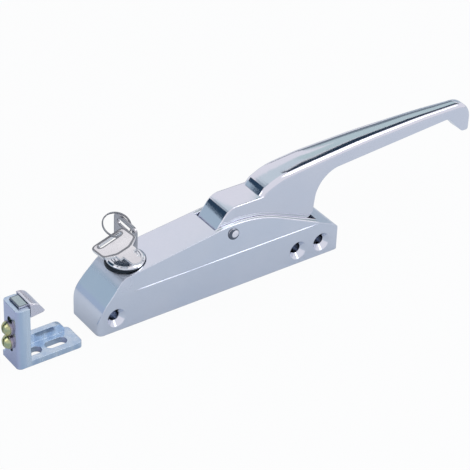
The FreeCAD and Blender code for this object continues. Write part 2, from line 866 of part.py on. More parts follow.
def make_nut():
    body = new_body("lock_nut")
    sixth = S.nut_flats * 0.57735
    hexagon = [(S.nut_flats, sixth), (0, sixth * 2), (-S.nut_flats, sixth),
               (-S.nut_flats, -sixth), (0, -sixth * 2), (S.nut_flats, -sixth)]
    flats = outline(body, "NutFlats", "XY_Plane", hexagon, S.roof_flat - S.nut_thick)
    pad(body, "NutBlank", flats, S.nut_thick)
    hole = circles(body, "NutBore", "XY_Plane", [(0, 0, S.barrel_radius)],
                   S.roof_flat - S.nut_thick)
    pocket(body, "NutHole", hole, S.nut_thick, backwards=True)
    place(body, -lock_at, 0, 0)
    return body


def make_plug():
    body = new_body("lock_plug")
    top = seat_height + S.bezel_thick - S.plug_recess
    shape = outline(body, "PlugProfile", "XZ_Plane", [
        (0, S.plug_foot), (S.plug_radius, S.plug_foot),
        (S.plug_radius, top), (0, top)])
    revolve(body, "Plug", shape)
    way = outline(body, "Keyway", "XY_Plane", box_corners(
        -S.key_thick / 2 - S.keyway_gap, -S.blade_half - S.keyway_gap,
        S.key_thick / 2 + S.keyway_gap, S.blade_half + S.keyway_gap), S.blade_tip - 0.5)
    pocket(body, "KeywayCut", way, top - S.blade_tip + OVERSHOOT, backwards=True)
    tap = circles(body, "PlugTap", "XY_Plane", [(0, 0, S.cam_screw_shank)], S.plug_foot)
    pocket(body, "PlugHole", tap, S.cam_screw_depth - S.cam_thick - 0.4, backwards=True)
    place(body, -lock_at, 0, 0)
    return body


def make_cam():
    body = new_body("lock_cam")
    plate = outline(body, "CamPlate", "XY_Plane", [
        (-S.cam_reach, -S.cam_half, S.cam_half * 0.9),
        (S.cam_half, -S.cam_half, S.cam_half * 0.98),
        (S.cam_half, S.cam_half, S.cam_half * 0.98),
        (-S.cam_reach, S.cam_half, S.cam_half * 0.9),
    ], S.plug_foot - S.cam_thick)
    pad(body, "CamBlank", plate, S.cam_thick)
    hole = circles(body, "CamBore", "XY_Plane", [(0, 0, S.cam_screw_shank)],
                   S.plug_foot - S.cam_thick)
    pocket(body, "CamHole", hole, S.cam_thick, backwards=True)
    place(body, -lock_at, 0, 0)
    return body


def make_cam_screw():
    body = new_body("cam_screw")
    low = S.plug_foot - S.cam_thick
    shape = outline(body, "CamScrewProfile", "XZ_Plane", [
        (0, low - S.cam_screw_thick),
        (S.cam_screw_head, low - S.cam_screw_thick, 0.8),
        (S.cam_screw_head, low),
        (S.cam_screw_shank, low),
        (S.cam_screw_shank, low + S.cam_screw_depth - 0.8),
        (0, low + S.cam_screw_depth - 0.8),
    ])
    revolve(body, "CamScrew", shape)
    place(body, -lock_at, 0, 0)
    return body


def make_key(label):
    """A flat key with a wide slotted bow, drawn upright on the YZ plane."""
    body = new_body(label)
    half = S.bow_width / 2
    low = S.shoulder_height - 4.4
    shape = outline(body, "KeyOutline_" + label, "YZ_Plane", [
        (-half, S.bow_top, S.bow_corner), (-half, S.bow_side, 5.0),
        (-S.shoulder_half, S.shoulder_height, 2.0), (-S.shoulder_half, low, 0.6),
        (-S.blade_half, low), (-S.blade_half, S.blade_tip + 2.0),
        (-S.blade_half / 3, S.blade_tip), (S.blade_half / 3, S.blade_tip),
        (S.blade_half, S.blade_tip + 2.0), (S.blade_half, low),
        (S.shoulder_half, low, 0.6), (S.shoulder_half, S.shoulder_height, 2.0),
        (half, S.bow_side, 5.0), (half, S.bow_top, S.bow_corner),
    ])
    pad(body, "KeyPlate_" + label, shape, S.key_thick, symmetric=True)
    mid = (S.key_slot_top + S.key_slot_bottom) / 2
    deep = (S.key_slot_top - S.key_slot_bottom) / 2
    slot = outline(body, "KeySlot_" + label, "YZ_Plane", slot_corners(
        -S.key_slot_length / 2, S.key_slot_length / 2, mid, deep))
    pocket(body, "KeySlotCut_" + label, slot, S.key_thick * 4, symmetric=True)
    return body


def make_ring():
    ring = doc.addObject("Part::Torus", "key_ring")
    ring.Label = "key_ring"
    bind(ring, "Radius1", S.ring_radius)
    bind(ring, "Radius2", S.ring_wire)
    tilt = Rotation(Vector(1, 0, 0), 90 - DRIVING["ring_tilt"])
    place(ring, -lock_at - S.ring_back, 0, S.ring_rise, tilt)
    return ring


def make_spare_key():
    """The second key, held by the ring through the slot in its bow."""
    body = make_key("spare_key")
    along = Vector(0.95, 0.0, 0.31).normalize()
    blade = Vector(-0.05, -0.98, 0.17)
    blade = (blade - along * blade.dot(along)).normalize()
    normal = along.cross(blade)
    turn = Rotation(FreeCAD.Matrix(
        -normal.x, along.x, -blade.x, 0,
        -normal.y, along.y, -blade.y, 0,
        -normal.z, along.z, -blade.z, 0,
        0, 0, 0, 1))
    sweep = math.radians(240)
    lean = math.radians(DRIVING["ring_tilt"])
    rim = Vector(math.cos(sweep), math.sin(sweep) * math.sin(lean),
                 math.sin(sweep) * math.cos(lean))
    seat = rim * DRIVING["ring_radius"] + Vector(
        DRIVING["lock_inset"] - DRIVING["nose_len"] - DRIVING["ring_back"], 0, DRIVING["ring_rise"])
    mid = (DRIVING["key_slot_top"] + DRIVING["key_slot_bottom"]) / 2
    hold = Vector(0, DRIVING["key_slot_length"] / 2 - 3.6, mid)
    body.Placement = Placement(seat - turn.multVec(hold), turn)
    return body


def make_strike_bracket():
    body = new_body("strike_bracket")
    near = -S.strike_near
    left = -S.strike_left
    right = left + S.strike_base_length
    far = near + S.strike_base_width
    base = outline(body, "BasePlan", "XY_Plane", [
        (left, near, S.base_bend), (right, near, S.base_corner),
        (right, far, S.base_corner), (left, far)])
    pad(body, "BasePlate", base, S.strike_base_thick)
    post = outline(body, "PostPlan", "XY_Plane", [
        (left, near, S.post_bend), (left + S.post_depth, near, S.post_edge),
        (left + S.post_depth, near + S.strike_wall),
        (left + S.strike_wall, near + S.strike_wall),
        (left + S.strike_wall, near + S.post_width - S.strike_wall),
        (left + S.post_depth, near + S.post_width - S.strike_wall),
        (left + S.post_depth, near + S.post_width, S.post_edge),
        (left, near + S.post_width, S.post_bend)])
    pad(body, "Channel", post, S.post_height)
    rise = upstand_outline(body, left, far)
    pad(body, "Upstand", rise, S.upstand_thick, backwards=False)
    centre = near + S.base_slot_near
    for first, name in ((S.base_slot_first, "First"), (S.base_slot_second, "Second")):
        start = left + first - S.base_slot_length / 2
        cut = outline(body, name + "Slot", "XY_Plane", slot_corners(
            start, start + S.base_slot_length, centre, S.base_slot_half))
        pocket(body, name + "SlotCut", cut, S.strike_base_thick, backwards=True)
    middle = near + S.post_width / 2
    tall = S.face_slot_half * 0.995
    face = outline(body, "FaceSlot", "YZ_Plane", box_corners(
        middle - S.face_slot_half, S.face_slot_low, middle + S.face_slot_half,
        S.face_slot_high, tall), left - OVERSHOOT)
    pocket(body, "FaceSlotCut", face, S.strike_wall + OVERSHOOT, backwards=True)
    return body


def upstand_outline(body, left, far):
    """The low flange that stands along the far edge of the base."""
    end = left + S.strike_base_length - S.upstand_end
    start = left + S.post_depth + S.hook_gap
    return outline(body, "UpstandProfile", "XZ_Plane", [
        (start, 0), (end, 0), (end, S.upstand_height, S.upstand_round),
        (start, S.upstand_height)], -far)


def make_strike_hook():
    body = new_body("strike_hook")
    front = -S.strike_left + S.strike_wall + S.hook_gap
    shank_back = -S.strike_left + S.post_depth
    middle = -S.strike_near + S.post_width / 2
    tip = -S.strike_left + S.hook_reach
    start = shank_back + S.hook_gap
    core = outline(body, "ShankProfile", "XZ_Plane", [
        (front, S.hook_low), (shank_back, S.hook_low),
        (shank_back, S.hook_under + S.hook_step),
        (start + S.hook_neck, S.hook_under + S.hook_step),
        (start + S.hook_neck, S.hook_ridge - S.hook_step),
        (front, S.hook_ridge - S.hook_step)])
    inner = S.post_width - S.strike_wall * 2 - S.hook_gap * 2
    pad(body, "Shank", core, inner, symmetric=True)
    nose = outline(body, "NoseProfile", "XZ_Plane", [
        (start, S.hook_under), (tip - S.hook_bevel, S.hook_under + S.hook_bevel),
        (tip, S.hook_tip_height), (start + S.hook_flat, S.hook_ridge, S.hook_round),
        (start, S.hook_ridge)])
    pad(body, "Nose", nose, S.hook_wide, symmetric=True)
    taps = circles(body, "HookTaps", "YZ_Plane", [
        (0, S.strike_screw_low, S.strike_screw_radius),
        (0, S.strike_screw_low + S.strike_screw_pitch, S.strike_screw_radius)], front)
    reach = S.strike_screw_length - S.strike_wall - S.hook_gap - S.washer_thick
    pocket(body, "HookTapCut", taps, reach, backwards=True)
    place(body, 0, middle, 0)
    return body


def make_strike_screws():
    pieces = []
    middle = -S.strike_near + S.post_width / 2
    seat = -S.strike_left - S.washer_thick
    for number in range(2):
        body = new_body("strike_screw_%d" % (number + 1))
        shape = outline(body, "DomeProfile%d" % number, "XZ_Plane", [
            (0, -S.strike_screw_rise),
            (S.strike_screw_head * 0.62, -S.strike_screw_rise, 2.2),
            (S.strike_screw_head, -0.9, 0.7),
            (S.strike_screw_head, 0),
            (S.strike_screw_radius, 0),
            (S.strike_screw_radius, S.strike_screw_length),
            (0, S.strike_screw_length)])
        revolve(body, "Dome%d" % number, shape)
        cross = outline(body, "Driver%d" % number, "XY_Plane", box_corners(
            -S.strike_screw_head, -0.5, S.strike_screw_head, 0.5), -S.strike_screw_rise - 0.5)
        pocket(body, "DriverSlot%d" % number, cross, 1.6, backwards=True)
        place(body, seat, middle, S.strike_screw_low + S.strike_screw_pitch * number,
              TURN_X_BACK)
        pieces.append(body)
    return group("strike_screws", pieces)


def make_strike_washers():
    pieces = []
    middle = -S.strike_near + S.post_width / 2
    for number in range(2):
        body = new_body("strike_washer_%d" % (number + 1))
        shape = outline(body, "WasherProfile%d" % number, "XZ_Plane", box_corners(
            S.strike_screw_radius + 0.1, -S.washer_thick, S.washer_radius, 0))
        revolve(body, "Washer%d" % number, shape)
        place(body, -S.strike_left, middle,
              S.strike_screw_low + S.strike_screw_pitch * number, TURN_X_BACK)
        pieces.append(body)
    return group("strike_washers", pieces)


def check_and_write(nodes):
    """Refuse any failed feature or bad shape, then write one file for each node."""
    doc.recompute()
    for thing in doc.Objects:
        if "Invalid" in thing.State or "Error" in thing.State:
            raise RuntimeError("%s failed: %s" % (thing.Label, thing.State))
    os.makedirs("parts", exist_ok=True)
    for node in nodes:
        shape = node.Shape
        if shape.isNull() or not shape.isValid() or not shape.Solids:
            raise RuntimeError("%s has no good shape" % node.Label)
        shape.exportStep("parts/%s.step" % node.Label)
        box = shape.BoundBox
        print("%-20s %8.1f mm3  x %.1f %.1f  y %.1f %.1f  z %.1f %.1f" % (
            node.Label, shape.Volume, box.XMin, box.XMax, box.YMin, box.YMax,
            box.ZMin, box.ZMax))


def main():
    key = make_key("key")
    place(key, -lock_at, 0, 0)
    check_and_write([
        make_housing(), make_bottom_plate(), make_plate_screws(), make_pivot_pin(),
        make_lever(), make_bushes(), make_drive_pin(), make_bolt(), make_spring_rod(),
        make_spring(), make_barrel(), make_nut(), make_plug(), make_cam(),
        make_cam_screw(), key, make_ring(), make_spare_key(), make_strike_bracket(),
        make_strike_hook(), make_strike_screws(), make_strike_washers(),
    ])


main()
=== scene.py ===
"""Cold room door handle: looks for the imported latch, its two keys and its strike.

Everything is in metres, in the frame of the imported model: X runs along the latch from the strike to
the free end of the lever, Z points out of the door, and the camera looks from the -Y side.
"""

import json
import logging
import math
from dataclasses import dataclass
from enum import Enum

import bmesh
import bpy
from mathutils import Matrix, Vector
from mathutils.bvhtree import BVHTree

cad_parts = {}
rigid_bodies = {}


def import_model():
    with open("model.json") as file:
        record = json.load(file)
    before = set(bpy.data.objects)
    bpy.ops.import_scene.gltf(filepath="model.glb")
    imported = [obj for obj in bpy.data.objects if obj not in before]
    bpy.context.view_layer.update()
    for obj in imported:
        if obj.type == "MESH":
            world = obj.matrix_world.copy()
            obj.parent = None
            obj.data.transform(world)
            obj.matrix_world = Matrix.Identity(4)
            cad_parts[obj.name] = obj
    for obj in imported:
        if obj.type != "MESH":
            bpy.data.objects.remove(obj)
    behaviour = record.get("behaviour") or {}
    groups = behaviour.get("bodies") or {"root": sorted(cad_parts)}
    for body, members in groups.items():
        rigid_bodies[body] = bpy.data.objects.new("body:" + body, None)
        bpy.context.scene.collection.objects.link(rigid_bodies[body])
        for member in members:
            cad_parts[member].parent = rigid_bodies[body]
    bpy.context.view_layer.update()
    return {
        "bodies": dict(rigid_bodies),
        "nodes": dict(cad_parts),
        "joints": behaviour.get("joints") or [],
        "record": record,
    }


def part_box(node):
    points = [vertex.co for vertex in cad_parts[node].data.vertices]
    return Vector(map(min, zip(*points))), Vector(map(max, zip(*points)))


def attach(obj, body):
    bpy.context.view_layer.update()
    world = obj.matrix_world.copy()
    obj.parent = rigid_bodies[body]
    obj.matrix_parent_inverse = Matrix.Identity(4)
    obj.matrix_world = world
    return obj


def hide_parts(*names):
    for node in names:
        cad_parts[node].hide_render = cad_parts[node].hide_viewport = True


LOG = logging.getLogger("cold_room_latch")
MM = 0.001
SHORTEST = 0.03 * MM
THIN = 0.02 * MM
SMOOTHINGS = 3
LINE_TAPER = 6
LINE_LEAST = 0.1
LINE_SECTION = ((1.0, -0.5), (0.6, 0.7), (0.0, 1.0), (-0.6, 0.7), (-1.0, -0.5))
ALL_SMOOTH = math.radians(80.0)
CREASE = math.radians(34.0)
SKY = 0.2
DOWN = Vector((0.0, 0.0, -1.0))
UPRIGHT = Matrix(((0, 0, 1, 0), (1, 0, 0, 0), (0, 1, 0, 0), (0, 0, 0, 1)))
Colour = tuple[float, float, float]
Point = tuple[float, float, float]
Corner = tuple[float, float, float]
Outline = list[tuple[float, float]]
Span = tuple[float, float]


class Grain(Enum):
    """How the fine marks of a metal surface run."""

    POLISHED = (1.0, 1.0, 1.0)
    ALONG_X = (0.06, 1.0, 1.0)
    ALONG_Z = (1.0, 1.0, 0.06)
    CAST = (1.3, 1.3, 1.3)


def link_value(tree: bpy.types.NodeTree, start: bpy.types.NodeSocket,
               end: bpy.types.NodeSocket) -> None:
    """Joins two sockets of one node tree."""
    tree.links.new(start, end)


def sums(tree: bpy.types.NodeTree, operation: str,
         *values: bpy.types.NodeSocket | float) -> bpy.types.NodeSocket:
    """Adds a node that works out one number from sockets and plain numbers."""
    node = tree.nodes.new("ShaderNodeMath")
    node.operation = operation
    for place, value in enumerate(values):
        if isinstance(value, float):
            node.inputs[place].default_value = value
        else:
            link_value(tree, value, node.inputs[place])
    return node.outputs["Value"]


def spread_over(tree: bpy.types.NodeTree, value: bpy.types.NodeSocket, source: Span,
                target: Span = (0.0, 1.0)) -> bpy.types.NodeSocket:
    """Adds a node that maps one span of numbers onto another and stops at its ends."""
    node = tree.nodes.new("ShaderNodeMapRange")
    node.inputs["From Min"].default_value, node.inputs["From Max"].default_value = source
    node.inputs["To Min"].default_value, node.inputs["To Max"].default_value = target
    link_value(tree, value, node.inputs["Value"])
    return node.outputs["Result"]


def object_axes(tree: bpy.types.NodeTree) -> bpy.types.NodeOutputs:
    """Adds nodes that give a point's x, y and z in its object's own axes."""
    place = tree.nodes.new("ShaderNodeTexCoord")
    parts = tree.nodes.new("ShaderNodeSeparateXYZ")
    link_value(tree, place.outputs["Object"], parts.inputs["Vector"])
    return parts.outputs


def add_object(name: str, data: bpy.types.ID) -> bpy.types.Object:
    """Adds an object with its data to the scene."""
    thing = bpy.data.objects.new(name, data)
    bpy.context.scene.collection.objects.link(thing)
    return thing


def add_face(name: str, corners: tuple[Point, ...]) -> tuple[bpy.types.Object,
                                                             bpy.types.NodeTree]:
    """Adds one flat face with a material of its own.

    Args:
        name: the name of the face and of its material.
        corners: its corners in order.

    Returns:
        The new object and its material's node tree.
    """
    mesh = bpy.data.meshes.new(name)
    mesh.from_pydata(corners, [], [tuple(range(len(corners)))])
    material = bpy.data.materials.new(name)
    material.use_nodes = True
    mesh.materials.append(material)
    return add_object(name, mesh), material.node_tree


@dataclass(frozen=True)
class Bow:
    """A slight bow of a flat face, which only its reflections show."""

    across: int
    middle: float
    lean: Point
    span: Span

    def add(self, tree: bpy.types.NodeTree, normal: bpy.types.NodeSocket) -> bpy.types.NodeSocket:
        """Leans the shading normal more, the further a point is from the middle."""
        axes = object_axes(tree)
        reach = sums(tree, "SUBTRACT", axes[self.across], self.middle)
        share = spread_over(tree, axes["X"], self.span)
        amount = sums(tree, "MULTIPLY", reach, share)
        lean = tree.nodes.new("ShaderNodeVectorMath")
        lean.operation = "SCALE"
        lean.inputs[0].default_value = self.lean
        link_value(tree, amount, lean.inputs["Scale"])
        turn = tree.nodes.new("ShaderNodeVectorTransform")
        turn.vector_type = "VECTOR"
        turn.convert_from = "OBJECT"
        turn.convert_to = "WORLD"
        link_value(tree, lean.outputs["Vector"], turn.inputs["Vector"])
        total = tree.nodes.new("ShaderNodeVectorMath")
        total.operation = "ADD"
        link_value(tree, normal, total.inputs[0])
        link_value(tree, turn.outputs["Vector"], total.inputs[1])
        unit = tree.nodes.new("ShaderNodeVectorMath")
        unit.operation = "NORMALIZE"
        link_value(tree, total.outputs["Vector"], unit.inputs[0])
        return unit.outputs["Vector"]


CROWN_BOW = Bow(across=1, middle=0.0, lean=(0.0, 43.0, 0.0), span=(14.0 * MM, 170.0 * MM))
FRONT_BOW = Bow(across=0, middle=-8.0 * MM, lean=(17.0, 0.0, 23.0), span=(3.0 * MM, -1.0 * MM))
TONE_SPAN: Span = (0.35, 0.65)
MARKS_SPAN: Span = (0.12, 0.40)
PAINTED_TINT_SPAN: Span = (-0.2, -0.9)
DULL_REACH: Span = (6.5 * MM, 2.5 * MM)
DULL_RISE: Span = (25.0 * MM, 31.0 * MM)
DULL_MOST = 0.36
MARKS_LAYERS = 3.0
WAVES_LAYERS = 2.0
EDGE_SAMPLES = 6
WAVES_STEP = 1.0 * MM
MARKS_STEP = 0.1 * MM


@dataclass(frozen=True)
class MetalFinish:
    """A plated or bare metal with fine marks, slight unevenness and softened edges."""

    name: str
    colour: Colour
    shade: Colour
    roughness: float
    spread: float = 0.05
    grain: Grain = Grain.POLISHED
    grain_scale: float = 900.0
    grain_depth: float = 0.02
    wave_scale: float = 30.0
    wave_depth: float = 0.02
    edge_radius: float = 0.25 * MM
    slot: str = ""
    bows: tuple[Bow, ...] = ()
    painted_reflection_tint: Colour | None = None
    dull_at: float | None = None

    def build(self) -> bpy.types.Material:
        """Makes the material with its nodes."""
        material = bpy.data.materials.new(self.name)
        material.use_nodes = True
        tree = material.node_tree
        shader = tree.nodes["Principled BSDF"]
        shader.inputs["Metallic"].default_value = 1.0
        place = tree.nodes.new("ShaderNodeTexCoord")
        stretch = tree.nodes.new("ShaderNodeMapping")
        stretch.inputs["Scale"].default_value = self.grain.value
        link_value(tree, place.outputs["Object"], stretch.inputs["Vector"])
        marks = self._noise(tree, stretch.outputs["Vector"], self.grain_scale, MARKS_LAYERS)
        waves = self._noise(tree, stretch.outputs["Vector"], self.wave_scale, WAVES_LAYERS)
        self._colour(tree, waves, shader)
        self._roughness(tree, marks, waves, shader)
        self._relief(tree, marks, waves, shader)
        return material

    def _noise(self, tree: bpy.types.NodeTree, vector: bpy.types.NodeSocket, scale: float,
               detail: float) -> bpy.types.Node:
        """Adds a noise with so many cells to a metre and so many finer layers."""
        noise = tree.nodes.new("ShaderNodeTexNoise")
        noise.inputs["Scale"].default_value = scale
        noise.inputs["Detail"].default_value = detail
        link_value(tree, vector, noise.inputs["Vector"])
        return noise

    def _colour(self, tree: bpy.types.NodeTree, waves: bpy.types.Node,
                shader: bpy.types.Node) -> None:
        """Lets the plate's tone drift between colour and shade, and mixes a painted reflection tint
        into what faces -X.

        Args:
            tree: the material's node tree.
            waves: the slow noise.
            shader: the surface shader.
        """
        tone = tree.nodes.new("ShaderNodeValToRGB")
        for stop, place, colour in zip(tone.color_ramp.elements, TONE_SPAN,
                                       (self.shade, self.colour)):
            stop.position = place
            stop.color = (*colour, 1.0)
        link_value(tree, waves.outputs["Fac"], tone.inputs["Fac"])
        link_value(tree, tone.outputs["Color"], shader.inputs["Base Color"])
        if self.painted_reflection_tint is None:
            return
        # Painted reflection: faces that turn towards -X are mixed towards a darker, more purple tint.
        face = tree.nodes.new("ShaderNodeNewGeometry")
        parts = tree.nodes.new("ShaderNodeSeparateXYZ")
        link_value(tree, face.outputs["Normal"], parts.inputs["Vector"])
        share = spread_over(tree, parts.outputs["X"], PAINTED_TINT_SPAN)
        mix = tree.nodes.new("ShaderNodeMixRGB")
        mix.inputs["Color2"].default_value = (*self.painted_reflection_tint, 1.0)
        link_value(tree, share, mix.inputs["Fac"])
        link_value(tree, tone.outputs["Color"], mix.inputs["Color1"])
        link_value(tree, mix.outputs["Color"], shader.inputs["Base Color"])

    def _roughness(self, tree: bpy.types.NodeTree, marks: bpy.types.Node,
                   waves: bpy.types.Node, shader: bpy.types.Node) -> None:
        """Spreads the roughness about its mean by both noises, and dulls one brow.

        Args:
            tree: the material's node tree.
            marks: the fine noise.
            waves: the slow noise.
            shader: the surface shader.
        """
        both = sums(tree, "MULTIPLY", marks.outputs["Fac"], waves.outputs["Fac"])
        rough = spread_over(tree, both, MARKS_SPAN, (max(self.roughness - self.spread, 0.0),
                                                     self.roughness + self.spread))
        if self.dull_at is not None:
            axes = object_axes(tree)
            away = sums(tree, "ABSOLUTE", sums(tree, "SUBTRACT", axes["X"], self.dull_at))
            near = spread_over(tree, away, DULL_REACH, (0.0, DULL_MOST))
            risen = spread_over(tree, axes["Z"], DULL_RISE)
            rough = sums(tree, "ADD", rough, sums(tree, "MULTIPLY", near, risen))
        link_value(tree, rough, shader.inputs["Roughness"])

    def _relief(self, tree: bpy.types.NodeTree, marks: bpy.types.Node,
                waves: bpy.types.Node, shader: bpy.types.Node) -> None:
        """Rounds the edges in the shading and adds the fine marks and the slow unevenness.

        Args:
            tree: the material's node tree.
            marks: the fine noise.
            waves: the slow noise.
            shader: the surface shader.
        """
        edges = tree.nodes.new("ShaderNodeBevel")
        edges.samples = EDGE_SAMPLES
        edges.inputs["Radius"].default_value = self.edge_radius
        slow = tree.nodes.new("ShaderNodeBump")
        slow.inputs["Strength"].default_value = self.wave_depth
        slow.inputs["Distance"].default_value = WAVES_STEP
        link_value(tree, waves.outputs["Fac"], slow.inputs["Height"])
        link_value(tree, edges.outputs["Normal"], slow.inputs["Normal"])
        fine = tree.nodes.new("ShaderNodeBump")
        fine.inputs["Strength"].default_value = self.grain_depth
        fine.inputs["Distance"].default_value = MARKS_STEP
        link_value(tree, marks.outputs["Fac"], fine.inputs["Height"])
        link_value(tree, slow.outputs["Normal"], fine.inputs["Normal"])
        normal = fine.outputs["Normal"]
        for bow in self.bows:
            normal = bow.add(tree, normal)
        link_value(tree, normal, shader.inputs["Normal"])


FINISHES: tuple[MetalFinish, ...] = (
    MetalFinish("chrome_shell", (0.72, 0.75, 0.83), (0.69, 0.73, 0.82), 0.14, spread=0.04,
                grain=Grain.CAST, wave_depth=0.05, edge_radius=0.8 * MM,
                dull_at=-77.5 * MM),
    MetalFinish("chrome_lever", (0.76, 0.77, 0.84), (0.73, 0.75, 0.83), 0.09, spread=0.03,
                wave_depth=0.04, edge_radius=0.9 * MM, bows=(CROWN_BOW, FRONT_BOW)),
    # A paler copy of the shell's chrome that paints highlights: on the pin's riveted dome and along
    # the cheeks' edges.
    MetalFinish("bright_cap", (0.92, 0.92, 0.96), (0.88, 0.88, 0.93), 0.62,
                edge_radius=THIN, slot="chrome_shell"),
    # A paler copy of the hook's satin zinc that paints the highlight along the hook's ridge.
    MetalFinish("bright_zinc", (0.97, 0.96, 0.99), (0.92, 0.92, 0.96), 0.55,
                edge_radius=THIN, slot="hook_satin"),
    MetalFinish("chrome_lock", (0.80, 0.82, 0.86), (0.74, 0.77, 0.82), 0.10, spread=0.03),
    MetalFinish("lock_plug_metal", (0.66, 0.67, 0.70), (0.58, 0.60, 0.63), 0.28),
    MetalFinish("key_nickel", (0.48, 0.48, 0.51), (0.40, 0.40, 0.43), 0.26, spread=0.08,
                grain=Grain.ALONG_Z, grain_depth=0.05, edge_radius=0.2 * MM),
    # A brighter copy of the key's nickel that paints the white reflection on the spare key's faces.
    MetalFinish("spare_nickel", (0.86, 0.86, 0.87), (0.74, 0.74, 0.76), 0.20, spread=0.06,
                grain=Grain.ALONG_Z, grain_depth=0.04, edge_radius=0.2 * MM,
                slot="key_nickel"),
    # A slightly paler copy of the key's nickel for the first key's rim band.
    MetalFinish("worn_rim", (0.52, 0.52, 0.53), (0.42, 0.42, 0.44), 0.30,
                grain_depth=0.05, edge_radius=THIN, slot="key_nickel"),
    # A dark copy of the key's nickel that paints the dark reflection along the spare key's rim band.
    MetalFinish("dark_rim", (0.30, 0.31, 0.33), (0.20, 0.21, 0.23), 0.30,
                grain_depth=0.05, edge_radius=THIN, slot="key_nickel"),
    # A dark copy of the lock's chrome that paints shade: in the gap round the pin's dome, in the
    # bezel's groove, at the plug's recess and round the hook's shank.
    MetalFinish("dark_groove", (0.20, 0.23, 0.27), (0.14, 0.16, 0.20), 0.30,
                edge_radius=THIN, slot="chrome_lock"),
    # A near-black copy of the lock's chrome that paints the shadow under the bezel's rim.
    MetalFinish("black_rubber", (0.035, 0.045, 0.055), (0.025, 0.03, 0.04), 0.45,
                slot="chrome_lock"),
    MetalFinish("ring_steel", (0.36, 0.37, 0.39), (0.28, 0.29, 0.31), 0.22),
    # The strike's zinc takes a painted reflection tint on the faces that turn towards -X.
    MetalFinish("strike_zinc", (0.62, 0.72, 0.83), (0.47, 0.59, 0.75), 0.24, spread=0.06,
                grain=Grain.ALONG_Z, wave_scale=220.0, wave_depth=0.03,
                edge_radius=0.5 * MM, painted_reflection_tint=(0.48, 0.53, 0.73)),
    # A darker, greener copy of the shell's chrome that paints the grey reflection on the cheeks'
    # tops.
    MetalFinish("cheek_grey", (0.56, 0.63, 0.63), (0.52, 0.59, 0.60), 0.42,
                edge_radius=THIN, slot="chrome_shell"),
    MetalFinish("shank_zinc", (0.52, 0.60, 0.62), (0.42, 0.51, 0.53), 0.28,
                edge_radius=THIN, slot="hook_satin"),
    MetalFinish("hook_satin", (0.74, 0.72, 0.79), (0.68, 0.67, 0.75), 0.30,
                edge_radius=0.5 * MM),
    MetalFinish("yellow_zinc", (0.56, 0.54, 0.28), (0.38, 0.46, 0.30), 0.18, spread=0.08,
                wave_scale=400.0),
    MetalFinish("washer_steel", (0.58, 0.50, 0.52), (0.46, 0.42, 0.45), 0.30),
    MetalFinish("zinc_plate", (0.62, 0.66, 0.70), (0.54, 0.58, 0.63), 0.34,
                grain=Grain.ALONG_X, grain_depth=0.06),
    MetalFinish("bolt_zinc", (0.58, 0.60, 0.63), (0.50, 0.52, 0.56), 0.38, grain=Grain.CAST,
                grain_depth=0.10),
    MetalFinish("pin_steel", (0.62, 0.64, 0.67), (0.54, 0.56, 0.60), 0.22),
    MetalFinish("steel_fixings", (0.62, 0.64, 0.66), (0.52, 0.54, 0.58), 0.30),
    MetalFinish("bush_brass", (0.74, 0.60, 0.32), (0.64, 0.50, 0.26), 0.30),
    MetalFinish("spring_steel", (0.42, 0.43, 0.45), (0.34, 0.35, 0.38), 0.32),
)


@dataclass(frozen=True)
class Card:
    """A flat studio card that plated surfaces mirror."""

    name: str
    colour: Colour
    corners: tuple[Point, ...]


CARD_HEIGHT = 0.40


def level(*corners: tuple[float, float]) -> tuple[Point, ...]:
    """Gives the corners of a card that hangs level over the object."""
    return tuple((x, y, CARD_HEIGHT) for x, y in corners)


CARDS: tuple[Card, ...] = (
    Card("dark_flag", (0.02, 0.04, 0.07),
         level((0.16, 0.04), (0.70, 0.04), (0.70, 0.31), (0.16, 0.28))),
    Card("grey_card", (0.56, 0.68, 0.69),
         level((0.27, 0.30), (0.70, 0.31), (0.70, 0.52), (0.385, 0.52), (0.375, 0.405),
               (0.30, 0.392), (0.27, 0.375))),
    Card("pale_card", (0.66, 0.74, 0.78),
         level((-0.04, 0.10), (0.15, 0.10), (0.16, 0.28), (0.27, 0.30), (0.27, 0.375),
               (0.178, 0.334), (0.05, 0.318), (-0.04, 0.335))),
    Card("dark_strip", (0.03, 0.06, 0.10),
         level((-0.57, 0.16), (-0.142, 0.16), (-0.142, 0.60), (-0.57, 0.60))),
    Card("middle_strip", (0.42, 0.49, 0.54),
         level((-0.142, 0.10), (-0.04, 0.10), (-0.04, 0.335), (-0.142, 0.352))),
    Card("far_card", (0.20, 0.24, 0.28),
         level((0.27, 0.52), (0.85, 0.52), (0.85, 0.85), (0.27, 0.85))),
    Card("tail_wall", (0.42, 0.50, 0.58),
         ((0.80, 0.98, 0.0), (1.12, 0.62, 0.0), (1.12, 0.62, 0.38), (0.80, 0.98, 0.38))),
    Card("blue_card", (0.45, 0.56, 0.65),
         level((-1.30, 0.15), (-0.57, 0.15), (-0.57, 0.56), (-0.40, 0.54), (-0.40, 1.60),
               (-1.30, 1.60))),
    Card("blue_wall", (0.43, 0.52, 0.66),
         ((-1.30, 0.15, 0.0), (-1.30, 1.80, 0.0), (-1.30, 1.80, 0.4), (-1.30, 0.15, 0.4))),
)


